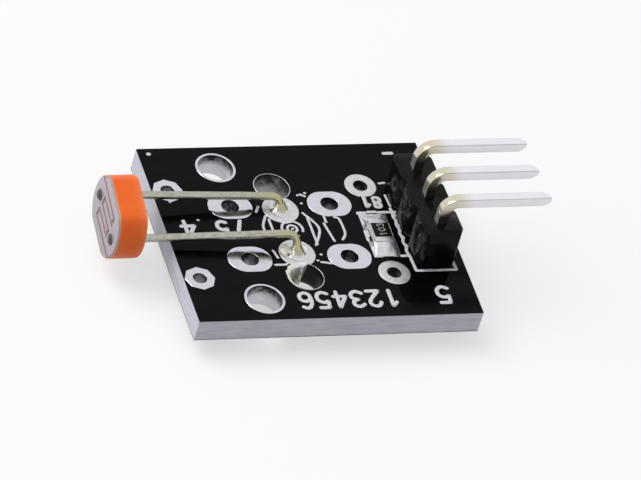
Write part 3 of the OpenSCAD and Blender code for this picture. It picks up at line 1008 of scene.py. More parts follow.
@dataclass
class SensorAssembly:
    """The photoresistor, its two bent leads and their soldered joints."""

    column: float = -1.35
    row: float = 1.905
    under: float = 1.2
    top: float = 2.8
    back: float = -11.45
    shift: float = 0.7
    lift: float = 0.94
    roll: float = 14.0
    diameter: float = 5.1
    flat: float = 4.3
    base_t: float = 1.7
    coat_t: float = 0.1
    film_t: float = 0.04
    film_round: float = 0.012
    rim_r: float = 0.07
    corner: float = 0.05
    face_inset: float = 1.2
    coat_bumps: Bumps = Bumps(0.9, 0.012)
    lead_r: float = 0.25
    lead_pitch: float = 3.2
    lead_stub: float = 0.18
    lean: float = 32.0
    lean_r: float = 0.5
    far_rise: float = 0.78
    near_rise: float = 1.18
    bend_r: float = 0.7
    cut_inset: float = 0.03
    cut_fade: Fade = Fade(0.0, 0.05)
    lead_bumps: Bumps = Bumps(0.6, 0.008)
    lead_stain: float = 0.9
    lead_stain_fade: Fade = Fade(0.8, 2.8)
    # Painted shade on the lead's cut end and on its underside.
    paste_fade: Fade = Fade(0.28, 0.36)
    tarnish: float = 0.45
    tarnish_fade: Fade = Fade(-0.8, 0.3)
    bond_r: float = 0.36
    bond_h: float = 0.1
    bond_inset: float = 0.02
    bond_sink: float = 0.01
    bond_bumps: Bumps = Bumps(0.25, 0.02)
    hole_r: float = 0.45
    hole_inset: float = 0.01
    solder_r: float = 0.75
    solder_rise: float = 0.42
    solder_drop: float = 0.95
    solder_wet: float = 0.025
    solder_rim: float = 0.012
    solder_hollow: float = 3.2
    solder_bulge: float = 1.2
    solder_bumps: Bumps = Bumps(0.35, 0.03)
    lumps: Mottle = Mottle(1.0, 4.0)
    lump_base: float = 0.25
    near_lump: float = 0.3
    far_lump: float = 0.05
    flux: float = 0.8
    flux_fade: Fade = Fade(0.3, 0.5)
    count: int = 160
    lead_count: int = 28
    bond_count: int = 48
    bond_steps: int = 8
    solder_count: int = 64
    solder_steps: int = 14

    @property
    def sensor_t(self) -> float:
        """Thickness of the sensor without its electrodes."""
        return self.base_t + self.coat_t

    def foot(self, side: Side) -> Vector:
        """The middle of a lead's hole on the board's top face."""
        return Vector((self.column, side.value * self.row, self.top))

    def drift(self, height: float) -> float:
        """Gives how far a lead has leaned towards the far edge.

        Args:
            height: Height over the board's top face.

        Returns:
            The distance in millimetres.
        """
        lean = math.radians(self.lean)
        bend = self.lean_r * (1.0 - math.cos(lean))
        return bend + height * math.tan(lean) if height > 0.0 else 0.0

    def lead_line(self, side: Side) -> Wire:
        """Gives a lead's middle line, from the tip of its tail to its end in front of the sensor.

        Args:
            side: Which lead.

        Returns:
            The middle line.
        """
        lean = math.radians(self.lean)
        foot = self.foot(side)
        height = (self.far_rise if side is Side.FAR else self.near_rise) * math.cos(lean)
        sunk = self.lean_r * (math.sin(lean) - math.tan(lean / 2))
        front = self.sensor_t + self.lead_stub
        end = self.sensor_place() @ Vector((0.0, side.value * self.lead_pitch / 2, front))
        corners = (
            Vector((foot.x, foot.y, 0.0)),
            foot - Vector((0.0, 0.0, sunk)),
            foot + Vector((0.0, self.drift(height), height)),
            end,
        )
        return Wire(corners, (self.lean_r, self.bend_r), Vector((1.0, 0.0, 0.0)))

    def sensor_place(self) -> Matrix:
        """Places shapes drawn with +Z out of the sensor's face and +Y along the row of its leads.

        Returns:
            The placing matrix.
        """
        middle = Matrix.Translation((self.back, self.shift, self.top + self.lift))
        rolled = Matrix.Rotation(math.radians(self.roll), 4, "X")
        return middle @ rolled @ Matrix.Rotation(-math.pi / 2, 4, "Y")

    def build(self) -> None:
        """Makes the sensor, the leads and the joints."""
        dress_node("sensor_base", CERAMIC)
        self.build_coat()
        for side in Side:
            electrode = f"electrode_{side.label}"
            keep_piece(f"{electrode}_film", softened(electrode, self.film_round), FILM, [electrode])
            self.build_bond(side)
            self.build_lead(side)
            self.build_joint(side)

    def outline(self, inset: float, height: float) -> Ring:
        """Makes a ring of the sensor's outline, round with two flats.

        Args:
            inset: How far the ring is drawn in.
            height: Its height over the sensor's back.

        Returns:
            The ring.
        """
        ring = []
        curved = self.diameter / 2 - inset
        for angle in around(self.count):
            flat = (self.flat / 2 - inset) / max(abs(math.cos(angle)), LEAST_COSINE)
            blend = math.exp(-curved / self.corner) + math.exp(-flat / self.corner)
            ring.append(polar(-self.corner * math.log(blend), angle, height))
        return ring

    def build_coat(self) -> None:
        """Makes the orange coat, a cup over the ceramic base with rounded rims.

        A row of its profile holds an inset, a height, and shares of the face's and the rim's tone.
        """
        front = self.sensor_t
        rim = self.rim_r
        profile = [
            (self.coat_t, self.base_t, 0.0, 0.0),
            (self.coat_t, rim, 0.0, 0.6),
            (self.coat_t, 0.0, 0.0, 1.0),
            (0.7 * rim, 0.0, 0.0, 1.0),
            (0.2 * rim, 0.2 * rim, 0.0, 0.9),
            (0.0, rim, 0.0, 0.7),
            (0.0, 2.6 * rim, 0.0, 0.25),
            (0.0, 0.3 * front, 0.0, 0.0),
            (0.0, 0.6 * front, 0.0, 0.0),
            (0.0, front - 2.6 * rim, 0.0, 0.0),
            (0.0, front - 1.3 * rim, 0.0, 0.35),
            (0.2 * rim, front - 0.3 * rim, 0.0, 1.0),
            (0.6 * rim, front - 0.02 * rim, 0.6, 1.0),
            (1.4 * rim, front, 1.0, 0.0),
            (self.face_inset, front, 1.0, 0.0),
        ]
        place = self.sensor_place()
        rings = []
        for inset, height, _, _ in profile:
            ring = self.outline(inset, height)
            if inset < self.coat_t and rim < height < front - rim:
                ring = [self.coat_bumps.moved(point) for point in ring]
            rings.append([place @ point for point in ring])
        mesh = loft(rings)
        for paint, part in ((Paint.FACE, 2), (Paint.RIM, 3)):
            paint_points(mesh, paint, [row[part] for row in profile for _ in range(self.count)])
        keep_piece("sensor_coat_cup", mesh, COAT, ["sensor_coat"])

    def build_bond(self, side: Side) -> None:
        """Makes the dark bead that bonds a lead's end to its electrode.

        Args:
            side: Which lead.
        """
        floor = self.sensor_t + self.film_t
        middle = Vector((0.0, side.value * self.lead_pitch / 2, 0.0))
        foot_r = self.bond_r - self.bond_inset
        rings = [circle(foot_r, floor - self.bond_sink, self.bond_count, middle)]
        for share in shares(self.bond_steps):
            turn = math.pi / 2 * share
            radius = self.lead_r + (self.bond_r - self.lead_r) * math.cos(turn)
            ring = circle(radius, floor + self.bond_h * math.sin(turn), self.bond_count, middle)
            rings.append([self.bond_bumps.moved(point, math.cos(turn)) for point in ring])
        place = self.sensor_place()
        mesh = loft([[place @ point for point in ring] for ring in rings])
        keep_piece(f"lead_bead_{side.label}", mesh, BOND, [f"lead_bond_{side.label}"])

    def build_lead(self, side: Side) -> None:
        """Makes a lead: stained near its joint, with painted shade on its underside and a painted
        dark end.

        Args:
            side: Which lead.
        """
        line = self.lead_line(side)
        joint = self.foot(side)
        end = line.corners[-1]

        def section(_: Station, left: float) -> list[Point]:
            """A round section, drawn in at the cut end."""
            radius = self.lead_r - self.cut_inset * self.cut_fade.at(left)
            return [(radius * math.cos(a), radius * math.sin(a)) for a in around(self.lead_count)]

        tail, *others = line.swept(section)
        mesh = loft([tail, *[[self.lead_bumps.moved(point) for point in ring] for ring in others]])
        stains = []
        shades = []
        for vertex in mesh.vertices:
            stains.append(self.lead_stain * self.lead_stain_fade.at((vertex.co - joint).length))
            # Painted shade: the cut end is darkened, and the underside darkens by the way it faces,
            # standing in for the dark board that it reflects.
            dark_end = self.paste_fade.at((vertex.co - end).length)
            shades.append(max(dark_end, self.tarnish * self.tarnish_fade.at(vertex.normal.z)))
        paint_points(mesh, Paint.STAIN, stains)
        paint_points(mesh, Paint.SHADE, shades)
        keep_piece(f"lead_wire_{side.label}", mesh, WIRE, [f"lead_{side.label}"])

    def build_joint(self, side: Side) -> None:
        """Makes a lead's soldered joint, with an uneven hollow fillet on both faces of the board.

        Args:
            side: Which lead.
        """
        foot = self.foot(side)
        shoulder = self.lead_r + self.solder_wet
        lump_h = self.near_lump if side is Side.NEAR else self.far_lump

        def fillet(face: float, height: float) -> list[Ring]:
            """Makes the rings of a fillet from its top down to its rim on a face of the board.

            Args:
                face: The face's height.
                height: How far the fillet rises from it, below 0 for the underside.

            Returns:
                The rings.
            """
            rings = []
            for share in shares(self.solder_steps):
                z = face + height * (1 - share) ** self.solder_hollow
                radius = shoulder + (self.solder_r - shoulder) * share
                drift = self.drift(z - self.top) * (1.0 - share) if height > 0.0 else 0.0
                ring = circle(radius, z, self.solder_count, foot + Vector((0.0, drift, 0.0)))
                bulge = math.sin(math.pi * min(share * self.solder_bulge, 1.0))
                for point in ring:
                    left = max((foot.x - point.x) / self.solder_r, 0.0)
                    lump = max(self.lumps.at(point) + self.lump_base, 0.0) * left * bulge
                    point.z += math.copysign(lump * lump_h, height)
                rings.append([self.solder_bumps.moved(point, bulge) for point in ring])
            for point in rings[-1]:
                point.z = face + math.copysign(self.solder_rim, height)
            return rings

        hole = [
            circle(radius, z, self.solder_count, foot)
            for radius, z in (
                (self.solder_r, self.top),
                (self.hole_r, self.top - self.hole_inset),
                (self.hole_r, self.under + self.hole_inset),
                (self.solder_r, self.under),
            )
        ]
        below = fillet(self.under, -self.solder_drop)
        mesh = loft([*fillet(self.top, self.solder_rise), *hole, *below[::-1]])
        brush(mesh, Paint.STAIN, lambda p: self.flux * self.flux_fade.at((p - foot).xy.length))
        keep_piece(f"lead_joint_{side.label}", mesh, JOINT, [f"lead_solder_{side.label}"])


@dataclass
class SolderRun:
    """Solder that has run from the near joint down the wall of the locating hole beside it."""

    column: float = -1.35
    row: float = -3.925
    bore_r: float = 1.1
    top: float = 2.815
    lap: float = 0.14
    bottom: float = 1.22
    start: float = 68.0
    end: float = 214.0
    shoulder: float = 0.45
    depth: float = 0.6
    taper: float = 0.12
    end_pace: float = 8.0
    uneven: float = 0.3
    uneven_round: float = 3.0
    uneven_down: float = 2.2
    ridge: float = 82.0
    ridge_h: float = 0.6
    ridge_w: float = 8.0
    ridge_fade: Fade = Fade(6.0, 14.0)
    lap_fade: Fade = Fade(0.0, 2.0)
    lap_fineness: float = 6.0
    skin: float = 0.02
    clearance: float = 0.004
    stain: float = 0.35
    stain_mottle: Mottle = Mottle(0.6, 1.8)
    streak_h: float = 1.5
    streak_fineness: float = 4.0
    levels: int = 22
    steps: int = 30

    def build(self) -> None:
        """Makes the run as an uneven skin on the hole's wall."""
        rings = []
        for level, fall in enumerate(shares(self.levels)):
            middle = Vector((self.column, self.row, self.top + (self.bottom - self.top) * fall))
            spread = (self.end - self.start) * (1.0 - self.taper * fall**2)
            swell = self.depth * fall**self.shoulder * min((1.0 - fall) * self.end_pace, 1.0) ** 0.5
            inner = []
            outer = []
            for share in shares(self.steps):
                degrees = (self.start + self.end) / 2 + (share - 0.5) * spread
                angle = math.radians(degrees)
                outward = Vector((math.cos(angle), math.sin(angle), 0.0))
                rounded = math.sin(math.pi * share) ** 0.5
                spot = Vector((angle * self.uneven_round, middle.z * self.uneven_down, 0.0))
                uneven = 1.0 + self.uneven * noise.noise(spot)
                uneven += self.ridge_h * math.exp(-(((degrees - self.ridge) / self.ridge_w) ** 2))
                lap = self.lap * self.lap_fade.at(level) * rounded
                lap *= 1.0 + noise.noise(Vector((angle * self.lap_fineness, 0.0, 0.0)))
                sunk = self.clearance + swell * rounded * uneven
                outer.append(middle + outward * (self.bore_r + self.skin + lap))
                inner.append(middle + outward * (self.bore_r - sunk))
            rings.append(outer + inner[::-1])
        mesh = loft(rings)
        # Painted highlight: stain and dark streaks are kept off the stripe along the ridge, so that
        # it shows as a bright streak.
        for paint, pattern in ((Paint.STAIN, self.blush), (Paint.SHADE, self.streak)):
            brush(mesh, paint, lambda point: self.off_ridge(point) * pattern(point))
        keep_piece("solder_run", mesh, RUN)

    def off_ridge(self, point: Vector) -> float:
        """Tells how far a point lies from the painted highlight along the ridge, from 0 on it to 1.
        """
        angle = math.degrees(math.atan2(point.y - self.row, point.x - self.column))
        return 1.0 - self.ridge_fade.at(abs(angle - self.ridge))

    def blush(self, point: Vector) -> float:
        """Gives the strength of the yellow stain."""
        return self.stain + self.stain_mottle.at(point)

    def streak(self, point: Vector) -> float:
        """Gives the strength of the dark streaks down the wall."""
        spot = Vector((point.x * self.streak_fineness, point.y * self.streak_fineness, point.z))
        return max(self.streak_h * noise.noise(spot), 0.0)


@dataclass
class FluxCrust:
    """A crust of dried flux beside the near joint."""

    column: float = -2.0
    row: float = -1.6
    base: float = 2.79
    radius: float = 0.4
    height: float = 0.2
    tip_r: float = 0.01
    lobes: Mottle = Mottle(0.45, 1.6)
    knobs: Mottle = Mottle(1.1, 5.0)
    count: int = 56
    steps: int = 12

    def build(self) -> None:
        """Makes the crust as a low uneven mound on the pad."""
        middle = Vector((self.column, self.row, 0.0))
        rings = []
        for share in shares(self.steps):
            turn = math.pi / 2 * share
            radius = max(self.radius * math.cos(turn), self.tip_r)
            ring = circle(radius, self.base, self.count, middle)
            for point in ring:
                out = point.xy - middle.xy
                point.xy = middle.xy + out * (1.0 + self.lobes.at(out.normalized().to_3d()))
                point.z += self.height * math.sin(turn) * (1.0 + self.knobs.at(point))
            rings.append(ring)
        keep_piece("flux_crust", loft(rings), FLUX)


@dataclass
class ChipResistor:
    """The chip resistor with its soldered ends and the number on its overcoat."""

    column: float = 4.47
    row: float = -0.58
    top: float = 2.8
    length: float = 2.0
    width: float = 1.25
    solder_h: float = 0.47
    solder_side: float = 0.15
    solder_lap: float = 0.06
    solder_reach: float = 0.89
    solder_rim: float = 0.03
    solder_slope: float = 1.6
    solder_belly: float = 0.05
    solder_square: float = 0.55
    narrow_from: float = 0.8
    narrowing: float = 4.0
    solder_bumps: Bumps = Bumps(0.5, 0.015)
    flux: float = 0.1
    flux_fade: Fade = Fade(0.0, 0.5)
    flux_shift: float = -0.6
    glaze_round: float = 0.028
    cap_round: float = 0.022
    round_faces: int = 3
    solder_steps: int = 22
    solder_count: int = 24
    code: str = "103"
    code_h: float = 0.44
    code_w: float = 0.06

    def build(self) -> None:
        """Makes the resistor's pieces."""
        dress_node("resistor_substrate", ALUMINA)
        glaze = softened("resistor_overcoat", self.glaze_round, self.round_faces)
        keep_piece("resistor_glaze", glaze, OVERCOAT, ["resistor_overcoat"])
        for side in Side:
            terminal = f"resistor_terminal_{side.label}"
            cap = softened(terminal, self.cap_round, self.round_faces)
            keep_piece(f"{terminal}_cap", cap, TERMINAL, [terminal])
            self.build_solder(side)

    def build_solder(self, side: Side) -> None:
        """Makes the smooth fillet at one end of the resistor.

        Args:
            side: Which end.
        """
        start = self.length / 2 - self.solder_lap
        rings = []
        for share in shares(self.solder_steps):
            y = self.row + side.value * (start + self.solder_reach * share)
            rise = (self.solder_h - self.solder_rim) * (1.0 - share) ** self.solder_slope
            height = self.solder_rim + rise + self.solder_belly * math.sin(math.pi * share)
            narrowed = 1.0 - max(share - self.narrow_from, 0.0) ** 2 * self.narrowing
            half = (self.width / 2 + self.solder_side) * narrowed
            foot = Vector((self.column, y, self.top))
            ring = []
            for turn in shares(self.solder_count):
                across = math.cos(math.pi * turn)
                u = math.copysign(abs(across) ** self.solder_square, across) * half
                w = math.sin(math.pi * turn) ** self.solder_square * height
                ring.append(self.solder_bumps.moved(foot + Vector((u, 0.0, w))))
            for rim in (ring[0], ring[-1]):
                rim.z = self.top
            rings.append(ring)
        mesh = loft(rings)
        middle = self.column + self.flux_shift
        brush(mesh, Paint.STAIN, lambda point: self.flux * self.flux_fade.at(abs(point.x - middle)))
        keep_piece(f"resistor_joint_{side.label}", mesh, SOLDER, [f"resistor_solder_{side.label}"])


@dataclass
class Header:
    """The angled pin header, tilted: a moulded housing, three bent square pins, their joints."""

    column: float = 7.2
    pitch: float = 2.54
    pins: int = 3
    under: float = 1.2
    top: float = 2.8
    tilt: float = 3.0
    housing_h: float = 2.54
    pin_w: float = 0.64
    pin_rise: float = 1.6
    pin_bend: float = 0.9
    pin_reach: float = 6.9
    tip_l: float = 0.5
    tip_w: float = 0.32
    tail_inset: float = 0.05
    tail_fade: Fade = Fade(0.0, 0.15)
    corner: float = 0.05
    # Darker lines along the pin's corners, a share for each point of a corner.
    corner_wear: tuple[float, ...] = (0.1, 0.5, 0.5, 0.1)
    knee: float = 0.3
    knee_fade: Fade = Fade(0.5, 1.7)
    # Painted shade: the pins darken towards the housing, most on their flanks.
    flank_tarnish: float = 0.95
    front_tarnish: float = 0.15
    foot_fade: Fade = Fade(0.5, 1.5)
    pin_step: float = 0.1
    rounding: float = 0.055
    round_faces: int = 3
    hole_r: float = 0.5
    hole_inset: float = 0.01
    solder_r: float = 0.7725
    solder_drop: float = 0.95
    solder_rim: float = 0.012
    solder_wet: float = 0.03
    solder_hollow: float = 1.7
    solder_draw: float = 0.6
    hug_limit: float = 1.36
    joint_bumps: float = 0.06
    joint_fineness: float = 2.0
    flux: float = 0.2
    solder_count: int = 64
    solder_steps: int = 14

    def place(self) -> Matrix:
        """Places shapes drawn round the header's middle, with the housing's underside on z = 0.

        Returns:
            The placing matrix.
        """
        tilt = math.radians(self.tilt)
        half = self.pins * self.pitch / 2
        middle = (self.top - self.under) / 2
        shift = (middle + half * math.sin(tilt)) * math.tan(tilt) - half * (1.0 - math.cos(tilt))
        edge = Matrix.Translation((self.column, half + shift, self.top))
        return edge @ Matrix.Rotation(-tilt, 4, "X") @ Matrix.Translation((0.0, -half, 0.0))

    def build(self) -> None:
        """Makes the housing, the pins and the joints."""
        block = softened("header_housing", self.rounding, self.round_faces)
        keep_piece("header_block", block, PLASTIC, ["header_housing"])
        row = self.row_tree()
        board = Matrix.Translation((self.column, 0.0, 0.0))
        for name, mesh, finish, node, place, uneven in (
            ("header_pins", self.pin(), PIN, "header_pin", self.place(), 0.0),
            ("header_joints", self.joint(), SOLDER, "header_solder", board, self.joint_bumps),
        ):
            single = bpy.data.objects.new("single", mesh)
            made = row.run(
                bpy.data.meshes.new("row"),
                Piece=single,
                Count=self.pins,
                Pitch=Vector((0.0, self.pitch, 0.0)),
                Start=Vector((0.0, -self.pitch * (self.pins - 1) / 2, 0.0)),
                Unevenness=uneven,
                Material=finish.material(),
            )
            bpy.data.objects.remove(single)
            made.transform(place)
            nodes = [f"{node}_{label}" for label in ("near", "middle", "far")]
            keep_piece(name, made, finish, nodes)

    def row_tree(self) -> NodeGroup:
        """Builds the tree that sets one piece in a row and makes each a little different.

        Returns:
            The tree.
        """
        group = NodeGroup("header_row")
        line = group.add(
            "GeometryNodeMeshLine",
            Count=group.size("Count", "NodeSocketInt"),
            Start_Location=group.size("Start", "NodeSocketVector"),
            Offset=group.size("Pitch", "NodeSocketVector"),
        )
        piece = group.add("GeometryNodeObjectInfo", Object=group.size("Piece", "NodeSocketObject"))
        single = piece.outputs["Geometry"]
        row = group.add("GeometryNodeInstanceOnPoints", Points=line.outputs[0], Instance=single)
        solid = group.add("GeometryNodeRealizeInstances", Geometry=row.outputs[0])
        bumps = group.add("ShaderNodeTexNoise", Scale=self.joint_fineness, Detail=1.0)
        depth = group.size("Unevenness")
        group.close(group.shifted(solid.outputs[0], bumps.outputs["Color"], depth))
        return group

    def square(self, half: float) -> list[Point]:
        """Makes a square section with rounded corners.

        Args:
            half: Half its side.

        Returns:
            Its points.
        """
        points = []
        inner = half - self.corner
        for quarter in range(4):
            middle = math.pi / 2 * quarter + math.pi / 4
            for share in shares(len(self.corner_wear) - 1):
                angle = math.pi / 2 * (quarter + share)
                u = math.copysign(inner, math.cos(middle)) + self.corner * math.cos(angle)
                v = math.copysign(inner, math.sin(middle)) + self.corner * math.sin(angle)
                points.append((u, v))
        return points

    def pin(self) -> Mesh:
        """Makes one pin round the origin, upright and then along +X.

        Returns:
            The mesh.
        """
        level = self.housing_h + self.pin_rise
        ends = ((0.0, -self.top), (0.0, level), (self.pin_reach, level))
        corners = tuple(Vector((x, 0.0, z)) for x, z in ends)
        line = Wire(corners, (self.pin_bend,), Vector((1.0, 0.0, 0.0)), self.pin_step)
        half = self.pin_w / 2

        def section(station: Station, left: float) -> list[Point]:
            """Makes the square section, tapered at the tip and drawn in at the tail.

            Args:
                station: Where it is on the wire.
                left: The wire's length left there.

            Returns:
                Its points.
            """
            taper = min(max((self.tip_l - left) / self.tip_l, 0.0), 1.0)
            size = half - (half - self.tip_w / 2) * taper
            return self.square(size - self.tail_inset * self.tail_fade.at(station.length))

        mesh = loft(line.swept(section))
        inside = self.pin_bend * self.knee
        knee = Vector((inside, 0.0, level - inside))
        brush(mesh, Paint.STAIN, lambda point: self.knee_fade.at((point - knee).length))
        each = len(self.corner_wear)
        flanks = {each * quarter + step for quarter in (1, 3) for step in (-2, -1, 0, 1)}
        # Painted shade at the pins' feet, standing in for the shade and dark reflections there,
        # laid over the darker corner lines.
        shades = []
        for i, vertex in enumerate(mesh.vertices):
            tarnish = self.flank_tarnish if i % (4 * each) in flanks else self.front_tarnish
            foot = self.foot_fade.at(vertex.co.z - self.housing_h)
            shades.append(max(self.corner_wear[i % each], tarnish * foot))
        paint_points(mesh, Paint.SHADE, shades)
        return mesh

    def joint(self) -> Mesh:
        """Makes the solder of one pin, which fills the hole and climbs the pin under the board.

        Returns:
            The mesh.
        """
        levels = (self.top - self.hole_inset, self.under)
        rings = [circle(self.hole_r, z, self.solder_count) for z in levels]
        middle = (self.top + self.under) / 2
        half = self.pin_w / 2
        for share in shares(self.solder_steps):
            drop = (self.solder_drop - self.solder_rim) * share**self.solder_hollow
            z = self.under - self.solder_rim - drop
            lean = (z - middle) * math.tan(math.radians(self.tilt)) * share
            ring = []
            for angle in around(self.solder_count):
                hug = (half + self.solder_wet) / max(abs(math.cos(angle)), abs(math.sin(angle)))
                drawn = (min(hug, half * self.hug_limit) - self.solder_r) * share**self.solder_draw
                ring.append(polar(self.solder_r + drawn, angle, z, y=lean))
            rings.append(ring)
        mesh = loft(rings)
        brush(mesh, Paint.STAIN, lambda point: self.flux)
        return mesh


NUMERALS: dict[str, list[Stroke]] = {
    "0": [[(0.3, 1.0), (0.06, 0.82), (0.02, 0.5), (0.06, 0.18), (0.3, 0.0), (0.54, 0.18),
           (0.58, 0.5), (0.54, 0.82), (0.3, 1.0)]],
    "1": [[(0.12, 0.78), (0.34, 1.0)], [(0.34, 1.0), (0.34, 0.0)]],
    "2": [[(0.03, 0.76), (0.14, 0.95), (0.34, 1.0), (0.54, 0.88), (0.55, 0.66), (0.36, 0.38),
           (0.02, 0.0)], [(0.02, 0.0), (0.6, 0.0)]],
    "3": [[(0.04, 0.86), (0.28, 1.0), (0.52, 0.88), (0.5, 0.64), (0.26, 0.53)],
          [(0.26, 0.53), (0.54, 0.42), (0.56, 0.16), (0.3, 0.0), (0.02, 0.13)]],
    "4": [[(0.42, 0.0), (0.42, 1.0)], [(0.42, 1.0), (0.0, 0.3)], [(0.0, 0.3), (0.6, 0.3)]],
    "5": [[(0.54, 1.0), (0.1, 1.0)], [(0.1, 1.0), (0.06, 0.58)],
          [(0.06, 0.58), (0.3, 0.66), (0.54, 0.5), (0.54, 0.18), (0.3, 0.0), (0.03, 0.1)]],
    "6": [[(0.52, 0.92), (0.3, 1.0), (0.1, 0.8), (0.03, 0.45), (0.08, 0.12), (0.3, 0.0),
           (0.54, 0.14), (0.54, 0.42), (0.3, 0.56), (0.05, 0.4)]],
    "7": [[(0.02, 1.0), (0.58, 1.0)], [(0.58, 1.0), (0.24, 0.0)]],
    "8": [[(0.3, 0.54), (0.08, 0.68), (0.1, 0.92), (0.3, 1.0), (0.5, 0.92), (0.52, 0.68),
           (0.3, 0.54), (0.04, 0.38), (0.06, 0.1), (0.3, 0.0), (0.54, 0.1), (0.56, 0.38),
           (0.3, 0.54)]],
    "-": [[(0.08, 0.5), (0.52, 0.5)]],
}
DIGIT_STEP = 0.86
DIGIT_GAP = 0.26
ARC_STEP = 12.0
ARC_STEPS = 6


def bow(points: Sequence[Point], steps: int = 8) -> list[Point]:
    """Draws a smooth line through points.

    Args:
        points: The points.
        steps: Number of steps between two of them.

    Returns:
        The points of the line.
    """
    if len(points) < 3:
        return list(points)
    line = []
    padded = [points[0], *points, points[-1]]
    for before, start, end, after in zip(padded, padded[1:], padded[2:], padded[3:]):
        for step in range(steps):
            t = step / steps
            line.append(tuple(
                0.5 * (
                    2 * b + (c - a) * t
                    + (2 * a - 5 * b + 4 * c - d) * t**2
                    + (3 * b - a - 3 * c + d) * t**3
                )
                for a, b, c, d in zip(before, start, end, after)
            ))
    return [*line, points[-1]]


def arc(centre: Point, radius: float, start: float, end: float) -> list[Point]:
    """Draws an arc.

    Args:
        centre: Its middle.
        radius: Its radius.
        start: Its first direction in degrees.
        end: Its last direction in degrees.

    Returns:
        Its points.
    """
    steps = max(ARC_STEPS, round(abs(end - start) / ARC_STEP))
    turns = [math.radians(start + (end - start) * share) for share in shares(steps)]
    return [(centre[0] + radius * math.cos(a), centre[1] + radius * math.sin(a)) for a in turns]


def number(text: str, centre: Point, height: float, turn: float = 180.0) -> list[Stroke]:
    """Draws a plain number.

    Args:
        text: Its digits.
        centre: Its middle.
        height: Height of the digits.
        turn: How far it is turned, in degrees.

    Returns:
        Its strokes.
    """
    width = DIGIT_STEP * len(text) - DIGIT_GAP
    cos = math.cos(math.radians(turn))
    sin = math.sin(math.radians(turn))
    strokes = []
    for place, digit in enumerate(text):
        for stroke in NUMERALS[digit]:
            turned = []
            for x, y in bow(stroke):
                u = (x + place * DIGIT_STEP - width / 2) * height
                v = (y - 0.5) * height
                turned.append((centre[0] + u * cos - v * sin, centre[1] + u * sin + v * cos))
            strokes.append(turned)
    return strokes


